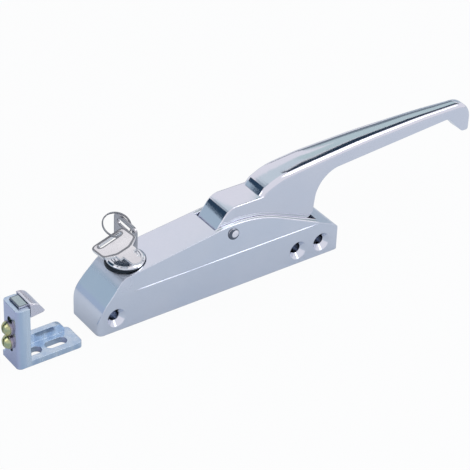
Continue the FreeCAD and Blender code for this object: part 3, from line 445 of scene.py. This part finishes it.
@dataclass
class Studio:
    """The floor, the white surround, the lamps and the camera."""

    floor_colour: Colour = (0.55, 0.61, 0.66)
    floor_size: float = 6.0
    floor_roughness: float = 0.9
    floor_shine: float = 0.1
    camera_place: Point = (-0.5826, -0.8147, 0.7110)
    camera_turn: float = math.radians(-36.089)
    camera_drop: float = math.radians(34.209)
    camera_roll: float = math.radians(2.438)
    sensor: float = 36.0
    focal_pixels: float = 2000.0
    picture_pixels: float = 470.0
    nearest: float = 0.01
    floor_glow: float = 0.94
    floor_gloss: float = 0.12
    sky_colour: Colour = (0.98, 0.96, 1.0)
    sky_strength: float = 0.92
    aim: Point = (0.02, 0.0, 0.03)

    def build(self) -> None:
        """Makes everything that is around the object."""
        self._floor()
        self._world()
        self._lamp("front_softbox", (0.50, -0.38, 0.78), (0.5, 0.5), 1.9)
        self._lamp("left_softbox", (-0.95, 0.1, 0.55), (0.5, 0.5), 0.9)
        for card in CARDS:
            self._card(card)
        self._camera()

    def _floor(self) -> None:
        """Lays the pale floor, which the camera sees as white with a faint shadow."""
        half = self.floor_size / 2.0
        floor, tree = add_face("floor", ((-half, -half, 0.0), (half, -half, 0.0),
                                         (half, half, 0.0), (-half, half, 0.0)))
        shader = tree.nodes["Principled BSDF"]
        shader.inputs["Base Color"].default_value = (*self.floor_colour, 1.0)
        shader.inputs["Roughness"].default_value = self.floor_roughness
        shader.inputs["Specular IOR Level"].default_value = self.floor_shine
        glow = tree.nodes.new("ShaderNodeEmission")
        glow.inputs["Color"].default_value = (1.0, 1.0, 1.0, 1.0)
        path = tree.nodes.new("ShaderNodeLightPath")
        share = sums(tree, "MULTIPLY", path.outputs["Is Camera Ray"], self.floor_glow)
        both = sums(tree, "MULTIPLY_ADD", path.outputs["Is Glossy Ray"], self.floor_gloss, share)
        mix = tree.nodes.new("ShaderNodeMixShader")
        link_value(tree, both, mix.inputs["Fac"])
        link_value(tree, shader.outputs["BSDF"], mix.inputs[1])
        link_value(tree, glow.outputs["Emission"], mix.inputs[2])
        link_value(tree, mix.outputs["Shader"], tree.nodes["Material Output"].inputs["Surface"])

    def _world(self) -> None:
        """Surrounds the scene with a plain, slightly cool white."""
        world = bpy.data.worlds.new("studio_white")
        bpy.context.scene.world = world
        world.use_nodes = True
        tree = world.node_tree
        sky = tree.nodes["Background"]
        sky.inputs["Color"].default_value = (*self.sky_colour, 1.0)
        sky.inputs["Strength"].default_value = self.sky_strength
        white = tree.nodes.new("ShaderNodeBackground")
        white.inputs["Color"].default_value = (1.0, 1.0, 1.0, 1.0)
        path = tree.nodes.new("ShaderNodeLightPath")
        mix = tree.nodes.new("ShaderNodeMixShader")
        link_value(tree, path.outputs["Is Camera Ray"], mix.inputs["Fac"])
        link_value(tree, sky.outputs["Background"], mix.inputs[1])
        link_value(tree, white.outputs["Background"], mix.inputs[2])
        link_value(tree, mix.outputs["Shader"], tree.nodes["World Output"].inputs["Surface"])

    def _lamp(self, name: str, place: Point, size: tuple[float, float], power: float) -> None:
        """Hangs one rectangular softbox of so many watts that points at the object."""
        data = bpy.data.lights.new(name, "AREA")
        data.shape = "RECTANGLE"
        data.size, data.size_y = size
        data.energy = power
        lamp = add_object(name, data)
        lamp.location = place
        aim = Vector(self.aim) - lamp.location
        lamp.rotation_euler = aim.to_track_quat("-Z", "Y").to_euler()

    def _card(self, card: Card) -> None:
        """Hangs a card that only reflections show, as studios do over plated goods."""
        sheet, tree = add_face(card.name, card.corners)
        sheet.visible_camera = False
        sheet.visible_shadow = False
        sheet.visible_diffuse = False
        shader = tree.nodes["Principled BSDF"]
        shader.inputs["Base Color"].default_value = (0.0, 0.0, 0.0, 1.0)
        shader.inputs["Specular IOR Level"].default_value = 0.0
        shader.inputs["Emission Color"].default_value = (*card.colour, 1.0)
        shader.inputs["Emission Strength"].default_value = 1.0

    def _camera(self) -> None:
        """Sets the camera where the photograph was taken from."""
        turn, drop, roll = self.camera_turn, self.camera_drop, self.camera_roll
        right = Vector((math.cos(turn), math.sin(turn), 0.0))
        ahead = Vector((-math.sin(turn) * math.cos(drop), math.cos(turn) * math.cos(drop),
                        -math.sin(drop)))
        up = right.cross(ahead)
        across = right * math.cos(roll) + up * math.sin(roll)
        upward = up * math.cos(roll) - right * math.sin(roll)
        data = bpy.data.cameras.new("camera")
        data.sensor_width = self.sensor
        data.lens = self.sensor * self.focal_pixels / self.picture_pixels
        data.clip_start = self.nearest
        camera = add_object("camera", data)
        axes = Matrix((across, upward, -ahead)).transposed().to_4x4()
        camera.matrix_world = Matrix.Translation(self.camera_place) @ axes
        bpy.context.scene.camera = camera


def rounded_outline(corners: list[Corner], steps: int = 6) -> Outline:
    """Turns corners that carry a radius into an outline whose corners are arcs.

    Args:
        corners: x, y and the radius of each corner, in order round the shape.
        steps: how many stretches each arc has.

    Returns:
        The points of the closed outline.
    """
    points: Outline = []
    for index, (x, y, radius) in enumerate(corners):
        here = Vector((x, y))
        if radius <= 0.0:
            points.append((x, y))
            continue
        before = (Vector(corners[index - 1][:2]) - here).normalized()
        after = (Vector(corners[(index + 1) % len(corners)][:2]) - here).normalized()
        half = before.angle(after) / 2.0
        middle = here + (before + after).normalized() * (radius / math.sin(half))
        start = here + before * (radius / math.tan(half)) - middle
        end = here + after * (radius / math.tan(half)) - middle
        for step in range(steps + 1):
            spoke = start.slerp(end, step / steps).normalized() * radius
            points.append((middle.x + spoke.x, middle.y + spoke.y))
    return [point for index, point in enumerate(points)
            if math.dist(point, points[index - 1]) > SHORTEST]


def flat_plate(outlines: list[Outline], thickness: float, edge: float,
               place: Matrix) -> bpy.types.Mesh:
    """Makes a plate with softened edges, with every outline after the first as a hole in it.

    Args:
        outlines: the plate's outline, then those of its holes.
        thickness: how thick the plate is.
        edge: the radius of its edges.
        place: where the plate's own plane goes.

    Returns:
        The plate's mesh, in the row frame.
    """
    curve = bpy.data.curves.new("plate", "CURVE")
    curve.dimensions = "2D"
    curve.fill_mode = "BOTH"
    curve.extrude = thickness / 2.0 - edge
    curve.bevel_depth = edge
    curve.bevel_resolution = 2
    curve.offset = -edge
    for outline in outlines:
        spline = curve.splines.new("POLY")
        spline.points.add(len(outline) - 1)
        for point, (x, y) in zip(spline.points, outline):
            point.co = (x, y, 0.0, 1.0)
        spline.use_cyclic_u = True
    return curve_mesh(curve, place)


def curve_mesh(curve: bpy.types.Curve, place: Matrix) -> bpy.types.Mesh:
    """Turns a curve into a mesh and clears the curve away.

    Args:
        curve: the curve to turn.
        place: where it goes.

    Returns:
        The mesh, in the row frame.
    """
    holder = bpy.data.objects.new("holder", curve)
    mesh = bpy.data.meshes.new_from_object(holder)
    mesh.transform(place)
    bpy.data.objects.remove(holder)
    bpy.data.curves.remove(curve)
    return mesh


def loft(rings: list[list[Vector]], closed: bool = False) -> bpy.types.Mesh:
    """Skins closed sections of equal count, and caps the two ends unless they meet.

    Args:
        rings: the sections, each a list of points.
        closed: whether the last section joins the first one.
    """
    work = bmesh.new()
    rows = [[work.verts.new(point) for point in ring] for ring in rings]
    count = len(rows[0])
    spans = len(rows) if closed else len(rows) - 1
    for row in range(spans):
        first, second = rows[row], rows[(row + 1) % len(rows)]
        for side in range(count):
            over = (side + 1) % count
            work.faces.new((first[side], first[over], second[over], second[side]))
    if not closed:
        work.faces.new(list(reversed(rows[0])))
        work.faces.new(rows[-1])
    bmesh.ops.recalc_face_normals(work, faces=work.faces)
    mesh = bpy.data.meshes.new("loft")
    work.to_mesh(mesh)
    work.free()
    return mesh


def spokes(count: int) -> list[tuple[float, float]]:
    """Gives the cosine and the sine of evenly spaced angles round a circle."""
    angles = [math.tau * index / count for index in range(count)]
    return [(math.cos(angle), math.sin(angle)) for angle in angles]


def surface_of(node: bpy.types.Object) -> BVHTree:
    """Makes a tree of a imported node's faces, to find points on it."""
    corners = [node.matrix_world @ vertex.co for vertex in node.data.vertices]
    faces = [tuple(face.vertices) for face in node.data.polygons]
    return BVHTree.FromPolygons(corners, faces)


def surface_line(node: bpy.types.Object, route: Outline, half: float, proud: float,
                 stations: int = 60) -> bpy.types.Mesh:
    """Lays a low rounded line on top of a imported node.

    Args:
        node: the node that it lies on.
        route: the corners of its way, seen from above.
        half: half of its width.
        proud: how far it stands up.
        stations: how many sections it has.
    """
    tree = surface_of(node)
    legs = [(Vector(route[i]), Vector(route[i + 1])) for i in range(len(route) - 1)]
    whole = sum((end - start).length for start, end in legs)
    spots = []
    for index in range(stations + 1):
        left = whole * index / stations
        for start, end in legs:
            length = (end - start).length
            if left <= length or (start, end) == legs[-1]:
                flat = start.lerp(end, min(left / length, 1.0))
                break
            left -= length
        spot, normal, _, _ = tree.ray_cast(Vector((flat.x, flat.y, SKY)), DOWN)
        if spot is not None:
            spots.append((spot, normal))
    for _ in range(SMOOTHINGS):
        spots = [tuple(sum((spots[min(max(index + step, 0), len(spots) - 1)][part]
                            for step in (-1, 0, 1)), Vector()) / 3.0 for part in (0, 1))
                 for index in range(len(spots))]
    rings = []
    for index, (spot, normal) in enumerate(spots):
        before = spots[max(index - 1, 0)][0]
        after = spots[min(index + 1, len(spots) - 1)][0]
        normal = normal.normalized()
        across = (after - before).cross(normal).normalized()
        from_end = min(index, len(spots) - 1 - index, LINE_TAPER)
        size = max(math.sin(math.pi * from_end / (2.0 * LINE_TAPER)), LINE_LEAST)
        rings.append([spot + across * (side * half * size) + normal * (rise * proud * size)
                      for side, rise in LINE_SECTION])
    return loft(rings)


@dataclass
class SubAssembly:
    """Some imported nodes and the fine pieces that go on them."""

    frame: dict
    finishes: dict[str, bpy.types.Material]
    slots: dict[str, str]
    nodes: tuple[str, ...] = ()

    def build(self) -> None:
        """Adds the fine pieces. A sub-assembly without any keeps this."""

    def dress(self) -> None:
        """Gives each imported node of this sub-assembly the finish that the record names."""
        named = {part["node"]: part["material_slot"] for part in self.frame["record"]["subparts"]}
        for node in self.nodes:
            mesh = self.frame["nodes"][node].data
            mesh.materials.clear()
            mesh.materials.append(self.finishes[named[node]])
            LOG.info("%s has the finish %s", node, named[node])

    def add(self, name: str, mesh: bpy.types.Mesh, body: str, finish: str,
            crease: float = CREASE) -> bpy.types.Object:
        """Adds one piece to the scene.

        Args:
            name: the piece's name.
            mesh: its mesh, in the row frame.
            body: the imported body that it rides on.
            finish: the name of its finish.
            crease: the angle from which its edges stay sharp.

        Returns:
            The new object.
        """
        mesh.name = name
        mesh.materials.clear()
        mesh.materials.append(self.finishes[finish])
        mesh.shade_smooth()
        mesh.set_sharp_from_angle(angle=crease)
        piece = add_object(name, mesh)
        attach(piece, body)
        LOG.info("added %s, which moves with %s", name, body)
        return piece


@dataclass
class Housing(SubAssembly):
    """The plated shell with its ridges, its cheeks' edges as painted highlight lines with a painted
    grey reflection between them, and its riveted pivot pin with a painted highlight and a ring of
    painted shade.
    """

    nodes: tuple[str, ...] = ("housing", "bottom_plate", "bottom_plate_screws", "pivot_pin",
                              "spring_rod", "bolt_spring")
    half_width: float = 15.5 * MM
    crease_height: float = 24.3 * MM
    ridge_front: float = -72.0 * MM
    ridge_back: float = 64.2 * MM
    ridge_half: float = 0.50 * MM
    ridge_proud: float = 0.34 * MM
    ridge_fade: float = 9.0 * MM
    ridge_stations: int = 90
    pin_turns: int = 48
    ridge_least: float = 0.04
    ridge_section: tuple[Span, ...] = (
        (-0.3, 1.0), (0.55, 0.42), (1.0, 0.0), (0.55, -0.42), (-0.3, -1.0))
    worn_at: float = -30.0 * MM
    worn_reach: float = 16.0 * MM
    worn_share: float = 0.45
    pin_gap: tuple[Span, ...] = (
        (3.5 * MM, -0.60 * MM), (3.5 * MM, 0.05 * MM), (0.4 * MM, 0.10 * MM),
        (0.4 * MM, -0.60 * MM))
    pin_dome: tuple[Span, ...] = (
        (0.1 * MM, -0.20 * MM), (0.1 * MM, 0.46 * MM), (1.0 * MM, 0.42 * MM),
        (1.8 * MM, 0.30 * MM), (2.4 * MM, 0.12 * MM), (2.6 * MM, -0.30 * MM))
    dome_shift: float = 0.9 * MM
    dome_way: Span = (0.8, 0.3)
    cheek_front: float = -13.0 * MM
    cheek_back: float = 66.0 * MM
    cheek_inset: float = 0.7 * MM
    cheek_middle: float = 11.6 * MM
    cheek_stations: int = 14
    side_lean: float = 2.4 * MM
    lean_rise: float = 22.3 * MM
    cheek_inner: float = 10.9 * MM
    line_half: float = 0.42 * MM
    line_proud: float = 0.20 * MM
    band_half: float = 1.25 * MM
    band_proud: float = 0.06 * MM

    def build(self) -> None:
        """Makes the ridge, the pin's riveted end with its painted highlight and ring of painted
        shade, and the cheek's edges as painted highlight lines with a painted grey reflection band
        between them, on both sides.
        """
        for side, name in ((-1.0, "near_side"), (1.0, "far_side")):
            self.add(name + "_ridge", self._ridge(side), "housing", "chrome_shell")
            # A dark ring under the off-centre dome paints the shade in the gap round the pin's
            # riveted end.
            self.add(name + "_pin_gap", self._pin_ring(side, self.pin_gap, 0.0),
                     "housing", "dark_groove")
            self.add(name + "_pin_dome", self._pin_ring(side, self.pin_dome, self.dome_shift),
                     "housing", "bright_cap")
            outer = self._cheek_edge(side)
            inner = [(x, side * self.cheek_inner) for x, _ in outer]
            band = [(x, (y + side * self.cheek_inner) / 2.0) for x, y in outer]
            # The outer and inner lines paint the highlights along the cheek's edges.
            for part, route, half, proud, finish in (
                    ("outer_line", outer, self.line_half, self.line_proud, "bright_cap"),
                    ("inner_line", inner, self.line_half, self.line_proud, "bright_cap"),
                    # The band between the lines paints the grey reflection on the cheek's top.
                    ("cheek_band", band, self.band_half, self.band_proud, "cheek_grey")):
                line = surface_line(self.frame["nodes"]["housing"], route, half, proud)
                self.add(name + "_" + part, line, "housing", finish, ALL_SMOOTH)

    def _cheek_edge(self, side: float) -> Outline:
        """Follows the top outer edge of a cheek, which leans in as it rises, from above."""
        tree = surface_of(self.frame["nodes"]["housing"])
        route = []
        for index in range(self.cheek_stations + 1):
            share = index / self.cheek_stations
            x = self.cheek_front + (self.cheek_back - self.cheek_front) * share
            spot = tree.ray_cast(Vector((x, side * self.cheek_middle, SKY)), DOWN)[0]
            lean = self.side_lean * (spot.z - self.crease_height) / self.lean_rise
            route.append((x, side * (self.half_width - max(lean, 0.0) - self.cheek_inset)))
        return route

    def _pin_ring(self, side: float, profile: Outline, shift: float) -> bpy.types.Mesh:
        """Turns a ring or a riveted dome beside the pin's axis.

        Args:
            side: -1 for the near end and 1 for the far end.
            profile: how far out from the axis and from the pin's end each edge lies.
            shift: how far the rivet set it off the axis.
        """
        low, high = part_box("pivot_pin")
        centre = (low + high) / 2.0
        end = high.y if side > 0.0 else low.y
        x = centre.x + shift * self.dome_way[0]
        z = centre.z + shift * self.dome_way[1]
        rings = [[Vector((x + reach * along, end + side * out, z + reach * up))
                  for reach, out in profile] for along, up in spokes(self.pin_turns)]
        return loft(rings, closed=True)

    def _ridge(self, side: float) -> bpy.types.Mesh:
        """Makes the ridge that runs along the crease, faint in its middle as castings show it.

        Args:
            side: -1 for the near side and 1 for the far side.
        """
        rings = []
        length = self.ridge_back - self.ridge_front
        for index in range(self.ridge_stations + 1):
            x = self.ridge_front + length * index / self.ridge_stations
            ends = min((x - self.ridge_front) / self.ridge_fade,
                       (self.ridge_back - x) / self.ridge_fade, 1.0)
            worn = math.exp(-((x - self.worn_at) / self.worn_reach) ** 2)
            size = max(math.sin(ends * math.pi / 2.0), self.ridge_least)
            size *= 1.0 - self.worn_share * worn
            rings.append([Vector((x, side * (self.half_width + out * self.ridge_proud * size),
                                  self.crease_height + up * self.ridge_half * size))
                          for out, up in self.ridge_section])
        return loft(rings)


@dataclass
class Lever(SubAssembly):
    """The cast lever with its bushes and the pin that drives the bolt."""

    nodes: tuple[str, ...] = ("lever", "lever_bushes", "drive_pin")


@dataclass
class Bolt(SubAssembly):
    """The sliding bolt."""

    nodes: tuple[str, ...] = ("latch_bolt",)


@dataclass
class CamLock(SubAssembly):
    """The lock barrel with a black ring that paints the shadow under its bezel, thin rings that paint
    the shade of its turned grooves, and the plug.
    """

    nodes: tuple[str, ...] = ("lock_barrel", "lock_nut", "lock_plug", "lock_cam", "cam_screw")
    turns: int = 120
    shadow_ring_out: float = 0.42 * MM
    shadow_ring_bulge: float = 0.55 * MM
    shadow_ring_lip: float = 0.55 * MM
    shadow_ring_depth: float = 1.9 * MM
    shadow_ring_inset: float = 0.9 * MM
    shadow_ring_round: float = 0.2 * MM
    shadow_ring_play: float = 0.1 * MM
    shadow_ring_sink: float = 0.02 * MM
    bezel_thick: float = 2.6 * MM
    groove_at: float = 9.0 * MM
    groove_half: float = 0.28 * MM
    recess_at: float = 6.9 * MM
    recess_half: float = 0.4 * MM
    plug_recess: float = 0.8 * MM

    def build(self) -> None:
        """Makes the black ring that paints the shadow under the bezel, and the two thin rings that
        paint the shade in the bezel's groove and at the plug's recess.
        """
        low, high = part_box("lock_barrel")
        centre = (low + high) / 2.0
        top = high.z
        radius = (high.x - low.x) / 2.0
        seat = top - self.bezel_thick
        # The black ring under the bezel is painted shadow beneath its rim.
        self.add("lock_seal", self._seal(centre, radius, seat), "housing", "black_rubber")
        # Two thin dark rings paint the shade in the bezel's turned groove and at the edge of the
        # plug's recess.
        self.add("bezel_groove", self._ring(centre, top, self.groove_at, self.groove_half),
                 "housing", "dark_groove")
        self.add("recess_ring", self._ring(centre, top - self.plug_recess, self.recess_at,
                                           self.recess_half), "housing", "dark_groove")

    def _seal(self, centre: Vector, radius: float, seat: float) -> bpy.types.Mesh:
        """Makes the black ring under the bezel that paints the shadow beneath its rim, deepest where
        the roof falls away.

        Args:
            centre: the lock's axis.
            radius: the bezel's radius.
            seat: the height of the bezel's underside.
        """
        rings = []
        top = seat + self.shadow_ring_lip
        under = seat - self.shadow_ring_sink
        inner = radius - self.shadow_ring_inset
        beside = radius - self.shadow_ring_play
        for along, across in spokes(self.turns):
            front = max(-along, 0.0)
            outer = radius + self.shadow_ring_out + self.shadow_ring_bulge * front
            low = seat - self.shadow_ring_depth * front
            mid = (outer + radius) / 2.0
            section = ((inner, low), (mid, low), (outer, low + self.shadow_ring_round),
                       (outer, top - self.shadow_ring_round), (mid, top), (beside, top),
                       (beside, under), (inner, under))
            rings.append([Vector((centre.x + reach * along, centre.y + reach * across, z))
                          for reach, z in section])
        return loft(rings, closed=True)

    def _ring(self, centre: Vector, height: float, radius: float,
              half: float) -> bpy.types.Mesh:
        """Makes one thin turned ring that lies on a flat face.

        Args:
            centre: the lock's axis.
            height: the height of the face.
            radius: the ring's middle radius.
            half: half of the ring's width.
        """
        section = ((-half, -0.05), (-half, 0.02), (0.0, 0.05), (half, 0.02), (half, -0.05))
        rings = [[Vector((centre.x + (radius + reach) * along,
                          centre.y + (radius + reach) * across, height + lift * MM))
                  for reach, lift in section] for along, across in spokes(self.turns)]
        return loft(rings, closed=True)


@dataclass
class KeySet(SubAssembly):
    """The key in the lock, the spare key and the split ring that joins them."""

    lock_at: float = 67.5 * MM
    thickness: float = 1.6 * MM
    edge: float = 0.22 * MM
    bow_half: float = 11.75 * MM
    bow_top: float = 64.4 * MM
    bow_side: float = 48.5 * MM
    bow_corner: float = 3.4 * MM
    bow_turn: float = 5.0 * MM
    neck_turn: float = 2.0 * MM
    shoulder_turn: float = 0.6 * MM
    band_turn: float = 4.0 * MM
    band_corner: float = 1.2 * MM
    band_edge: float = 0.06 * MM
    shoulder_height: float = 42.6 * MM
    shoulder_half: float = 5.8 * MM
    shoulder_drop: float = 4.4 * MM
    blade_half: float = 3.6 * MM
    blade_tip: float = 25.0 * MM
    tip_slope: float = 2.0 * MM
    tip_turn: float = 0.3 * MM
    slot_half: float = 8.0 * MM
    slot_low: float = 58.0 * MM
    slot_high: float = 62.0 * MM
    slot_rim: Span = (0.9 * MM, 0.1 * MM)
    cuts: tuple[float, ...] = (0.9 * MM, 1.6 * MM, 0.7 * MM, 1.3 * MM)
    cut_pitch: float = 2.5 * MM
    first_cut: float = 3.2 * MM
    cut_half: float = 1.0 * MM
    cut_floor: float = 0.35 * MM
    rim_inset: float = 0.2 * MM
    rim_width: float = 0.8 * MM
    spare_rim_width: float = 1.1 * MM
    rim_proud: float = 0.12 * MM
    ring_radius: float = 8.5 * MM
    ring_wire: float = 0.40 * MM
    ring_step: float = 0.32 * MM
    ring_back: float = 6.1 * MM
    ring_rise: float = 63.2 * MM
    ring_tilt: float = math.radians(65.0)
    ring_seat: float = math.radians(240.0)
    ring_points: int = 72
    ring_start: float = 0.30
    step_from: float = 0.94
    step_span: float = 0.12
    spare_along: Point = (0.95, 0.0, 0.31)
    spare_blade: Point = (-0.05, -0.98, 0.17)
    spare_hold: float = 3.6 * MM

    def build(self) -> None:
        """Makes both keys with their rims, and the ring."""
        first = Matrix.Translation((-self.lock_at, 0.0, 0.0)) @ UPRIGHT
        spare = self._spare_place() @ UPRIGHT
        for node, body, place, finish, rim, width in (
                ("key", "lock_plug", first, "key_nickel", "worn_rim", self.rim_width),
                # The spare key is painted brighter than the first key as a painted reflection, and
                # its rim band is painted dark as a painted dark reflection.
                ("spare_key", "spare_key", spare, "spare_nickel", "dark_rim",
                 self.spare_rim_width)):
            plate = flat_plate([self._outline(), self._slot(0.0)], self.thickness, self.edge,
                               place)
            key = self.add("cut_" + node, plate, body, finish)
            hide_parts(node)
            bow = [self._bow(inset) for inset in (self.rim_inset, self.rim_inset + width)]
            slot = [self._slot(grow) for grow in self.slot_rim]
            for part, outlines in (("rim_of_", bow), ("slot_rim_of_", slot)):
                band = flat_plate(outlines, self.thickness + 2.0 * self.rim_proud,
                                  self.band_edge, place)
                self.add(part + node, band, body, rim)
        ring = self.add("split_ring", self._ring(), "key_ring", "ring_steel")
        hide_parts("key_ring")

    def _outline(self) -> Outline:
        """Draws the key with the cuts of its blade."""
        low = self.shoulder_height - self.shoulder_drop
        half, tip = self.blade_half, self.blade_tip
        head: list[Corner] = [
            (self.bow_half, self.bow_top, self.bow_corner),
            (self.bow_half, self.bow_side, self.bow_turn),
            (self.shoulder_half, self.shoulder_height, self.neck_turn),
            (self.shoulder_half, low, self.shoulder_turn),
            (half, low, 0.0),
        ]
        corners = [(-x, y, radius) for x, y, radius in head]
        corners += [
            (-half, tip + self.tip_slope, 0.0),
            (-half / 3.0, tip, self.tip_turn),
            (half / 3.0, tip, self.tip_turn),
            (half, tip + self.tip_slope, 0.0),
        ]
        for number, depth in enumerate(self.cuts):
            middle = tip + self.first_cut + self.cut_pitch * number
            corners += [
                (half, middle - self.cut_half, 0.0),
                (half - depth, middle - self.cut_floor, 0.0),
                (half - depth, middle + self.cut_floor, 0.0),
                (half, middle + self.cut_half, 0.0),
            ]
        corners += reversed(head)
        return rounded_outline(corners)

    def _bow(self, inset: float) -> Outline:
        """Draws the bow's outline, smaller by an inset.

        Args:
            inset: how far inside the key's edge it lies.
        """
        half = self.bow_half - inset
        neck = self.shoulder_half - inset * 0.7
        corner = max(self.bow_corner - inset, self.band_corner)
        right: list[Corner] = [
            (neck * 0.8, self.shoulder_height + inset * 1.5, self.band_turn),
            (half, self.bow_side + inset * 0.5, self.band_turn),
            (half, self.bow_top - inset, corner),
        ]
        left = [(-x, y, radius) for x, y, radius in reversed(right)]
        return rounded_outline(left + right)

    def _slot(self, grow: float) -> Outline:
        """Draws the slot that the ring passes through.

        Args:
            grow: how far outside the slot's edge it lies.
        """
        half = self.slot_half + grow
        low, high = self.slot_low - grow, self.slot_high + grow
        end = (high - low) / 2.0 * 0.995
        return rounded_outline([(-half, low, end), (half, low, end), (half, high, end),
                                (-half, high, end)])

    def _spare_place(self) -> Matrix:
        """Works out where the spare key hangs from the ring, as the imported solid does."""
        along = Vector(self.spare_along).normalized()
        blade = Vector(self.spare_blade)
        blade = (blade - along * blade.dot(along)).normalized()
        normal = along.cross(blade)
        turn = Matrix((-normal, along, -blade)).transposed()
        rim = Vector((math.cos(self.ring_seat),
                      math.sin(self.ring_seat) * math.sin(self.ring_tilt),
                      math.sin(self.ring_seat) * math.cos(self.ring_tilt)))
        seat = self._ring_centre() + rim * self.ring_radius
        hold = Vector((0.0, self.slot_half - self.spare_hold,
                       (self.slot_low + self.slot_high) / 2.0))
        return Matrix.Translation(seat - turn @ hold) @ turn.to_4x4()

    def _ring_centre(self) -> Vector:
        """Gives the middle of the ring."""
        return Vector((-self.lock_at - self.ring_back, 0.0, self.ring_rise))

    def _ring(self) -> bpy.types.Mesh:
        """Winds the split ring: two turns of wire side by side, with a step between them."""
        curve = bpy.data.curves.new("wire", "CURVE")
        curve.dimensions = "3D"
        curve.bevel_depth = self.ring_wire
        curve.bevel_resolution = 3
        curve.use_fill_caps = True
        spline = curve.splines.new("POLY")
        spline.points.add(self.ring_points * 2 - 1)
        for index, point in enumerate(spline.points):
            turn = index / self.ring_points
            step = min(max((turn - self.step_from) / self.step_span, 0.0), 1.0)
            side = self.ring_step * (2.0 * step * step * (3.0 - 2.0 * step) - 1.0)
            angle = math.tau * (turn + self.ring_start)
            point.co = (self.ring_radius * math.cos(angle), self.ring_radius * math.sin(angle),
                        side, 1.0)
        tilt = Matrix.Rotation(math.pi / 2.0 - self.ring_tilt, 4, "X")
        return curve_mesh(curve, Matrix.Translation(self._ring_centre()) @ tilt)


@dataclass
class Strike(SubAssembly):
    """The strike's bracket and hook, with the screws that set the hook's height."""

    nodes: tuple[str, ...] = ("strike_bracket", "strike_hook", "strike_screws",
                              "strike_washers")
    wall: float = 3.0 * MM
    gap: float = 0.25 * MM
    post_depth: float = 8.9 * MM
    step: float = 0.6 * MM
    shank_half: float = 5.5 * MM
    groove: float = 0.55 * MM
    skin: float = 0.10 * MM
    skin_edge: float = 0.03 * MM
    skin_corner: float = 0.3 * MM
    ridge_half: float = 0.55 * MM
    ridge_proud: float = 0.30 * MM
    ridge_behind: float = 1.0 * MM
    ridge_far: float = 0.8 * MM
    ridge_near: float = 0.9 * MM
    ridge_bend: float = 2.0 * MM
    ridge_cut: float = 1.6 * MM
    ridge_end: float = 2.4 * MM

    def build(self) -> None:
        """Makes a darker skin over the shank's top with a rim of painted shade round it in the gap to
        the walls, and the hook's ridge with a painted highlight.
        """
        hook_low, hook_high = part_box("strike_hook")
        post_low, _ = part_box("strike_bracket")
        left = post_low.x + self.wall + self.gap
        right = post_low.x + self.post_depth + self.gap
        middle = (hook_low.y + hook_high.y) / 2.0
        height = hook_high.z - self.step
        # The dark plate under the skin shows as a rim of painted shade in the gap round the shank.
        self.add("shank_joint", self._plate(left, right, middle, height, 0.0),
                 "strike_hook", "dark_groove")
        self.add("shank_face", self._plate(left, right, middle, height + self.skin / 2.0,
                                           self.groove), "strike_hook", "shank_zinc")
        # The ridge along the hook's top edge carries a painted highlight.
        back, near = right + self.ridge_behind, hook_low.y + self.ridge_near
        route = [(back, hook_high.y - self.ridge_far), (back, hook_low.y + self.ridge_bend),
                 (back + self.ridge_cut, near), (hook_high.x - self.ridge_end, near)]
        ridge = surface_line(self.frame["nodes"]["strike_hook"], route, self.ridge_half,
                             self.ridge_proud)
        self.add("hook_ridge", ridge, "strike_hook", "bright_zinc")

    def _plate(self, left: float, right: float, middle: float, height: float,
               inset: float) -> bpy.types.Mesh:
        """Makes a thin skin over the shank's top.

        Args:
            left: the shank's left end.
            right: the shank's right end.
            middle: its middle across the strike.
            height: the skin's middle height.
            inset: how far inside the shank's edge it ends.
        """
        near, far = middle - self.shank_half + inset, middle + self.shank_half - inset
        shape = rounded_outline([(x, y, self.skin_corner) for x, y in (
            (left + inset, near), (right - inset, near), (right - inset, far),
            (left + inset, far))])
        return flat_plate([shape], self.skin, self.skin_edge,
                          Matrix.Translation((0.0, 0.0, height)))


def build_object(frame: dict) -> None:
    """Dresses and builds every sub-assembly of the loaded frame in order."""
    finishes = {finish.name: finish.build() for finish in FINISHES}
    slots = {finish.name: finish.slot or finish.name for finish in FINISHES}
    for kind in (Housing, Lever, Bolt, CamLock, KeySet, Strike):
        unit = kind(frame, finishes, slots)
        unit.dress()
        unit.build()


def main() -> None:
    """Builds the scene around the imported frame."""
    logging.basicConfig(level=logging.INFO)
    bpy.ops.object.select_all(action="DESELECT")
    for old in list(bpy.data.objects):
        bpy.data.objects.remove(old)
    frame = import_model()
    bpy.context.scene.view_settings.view_transform = "Standard"
    Studio().build()
    build_object(frame)


if __name__ == "__main__":
    main()
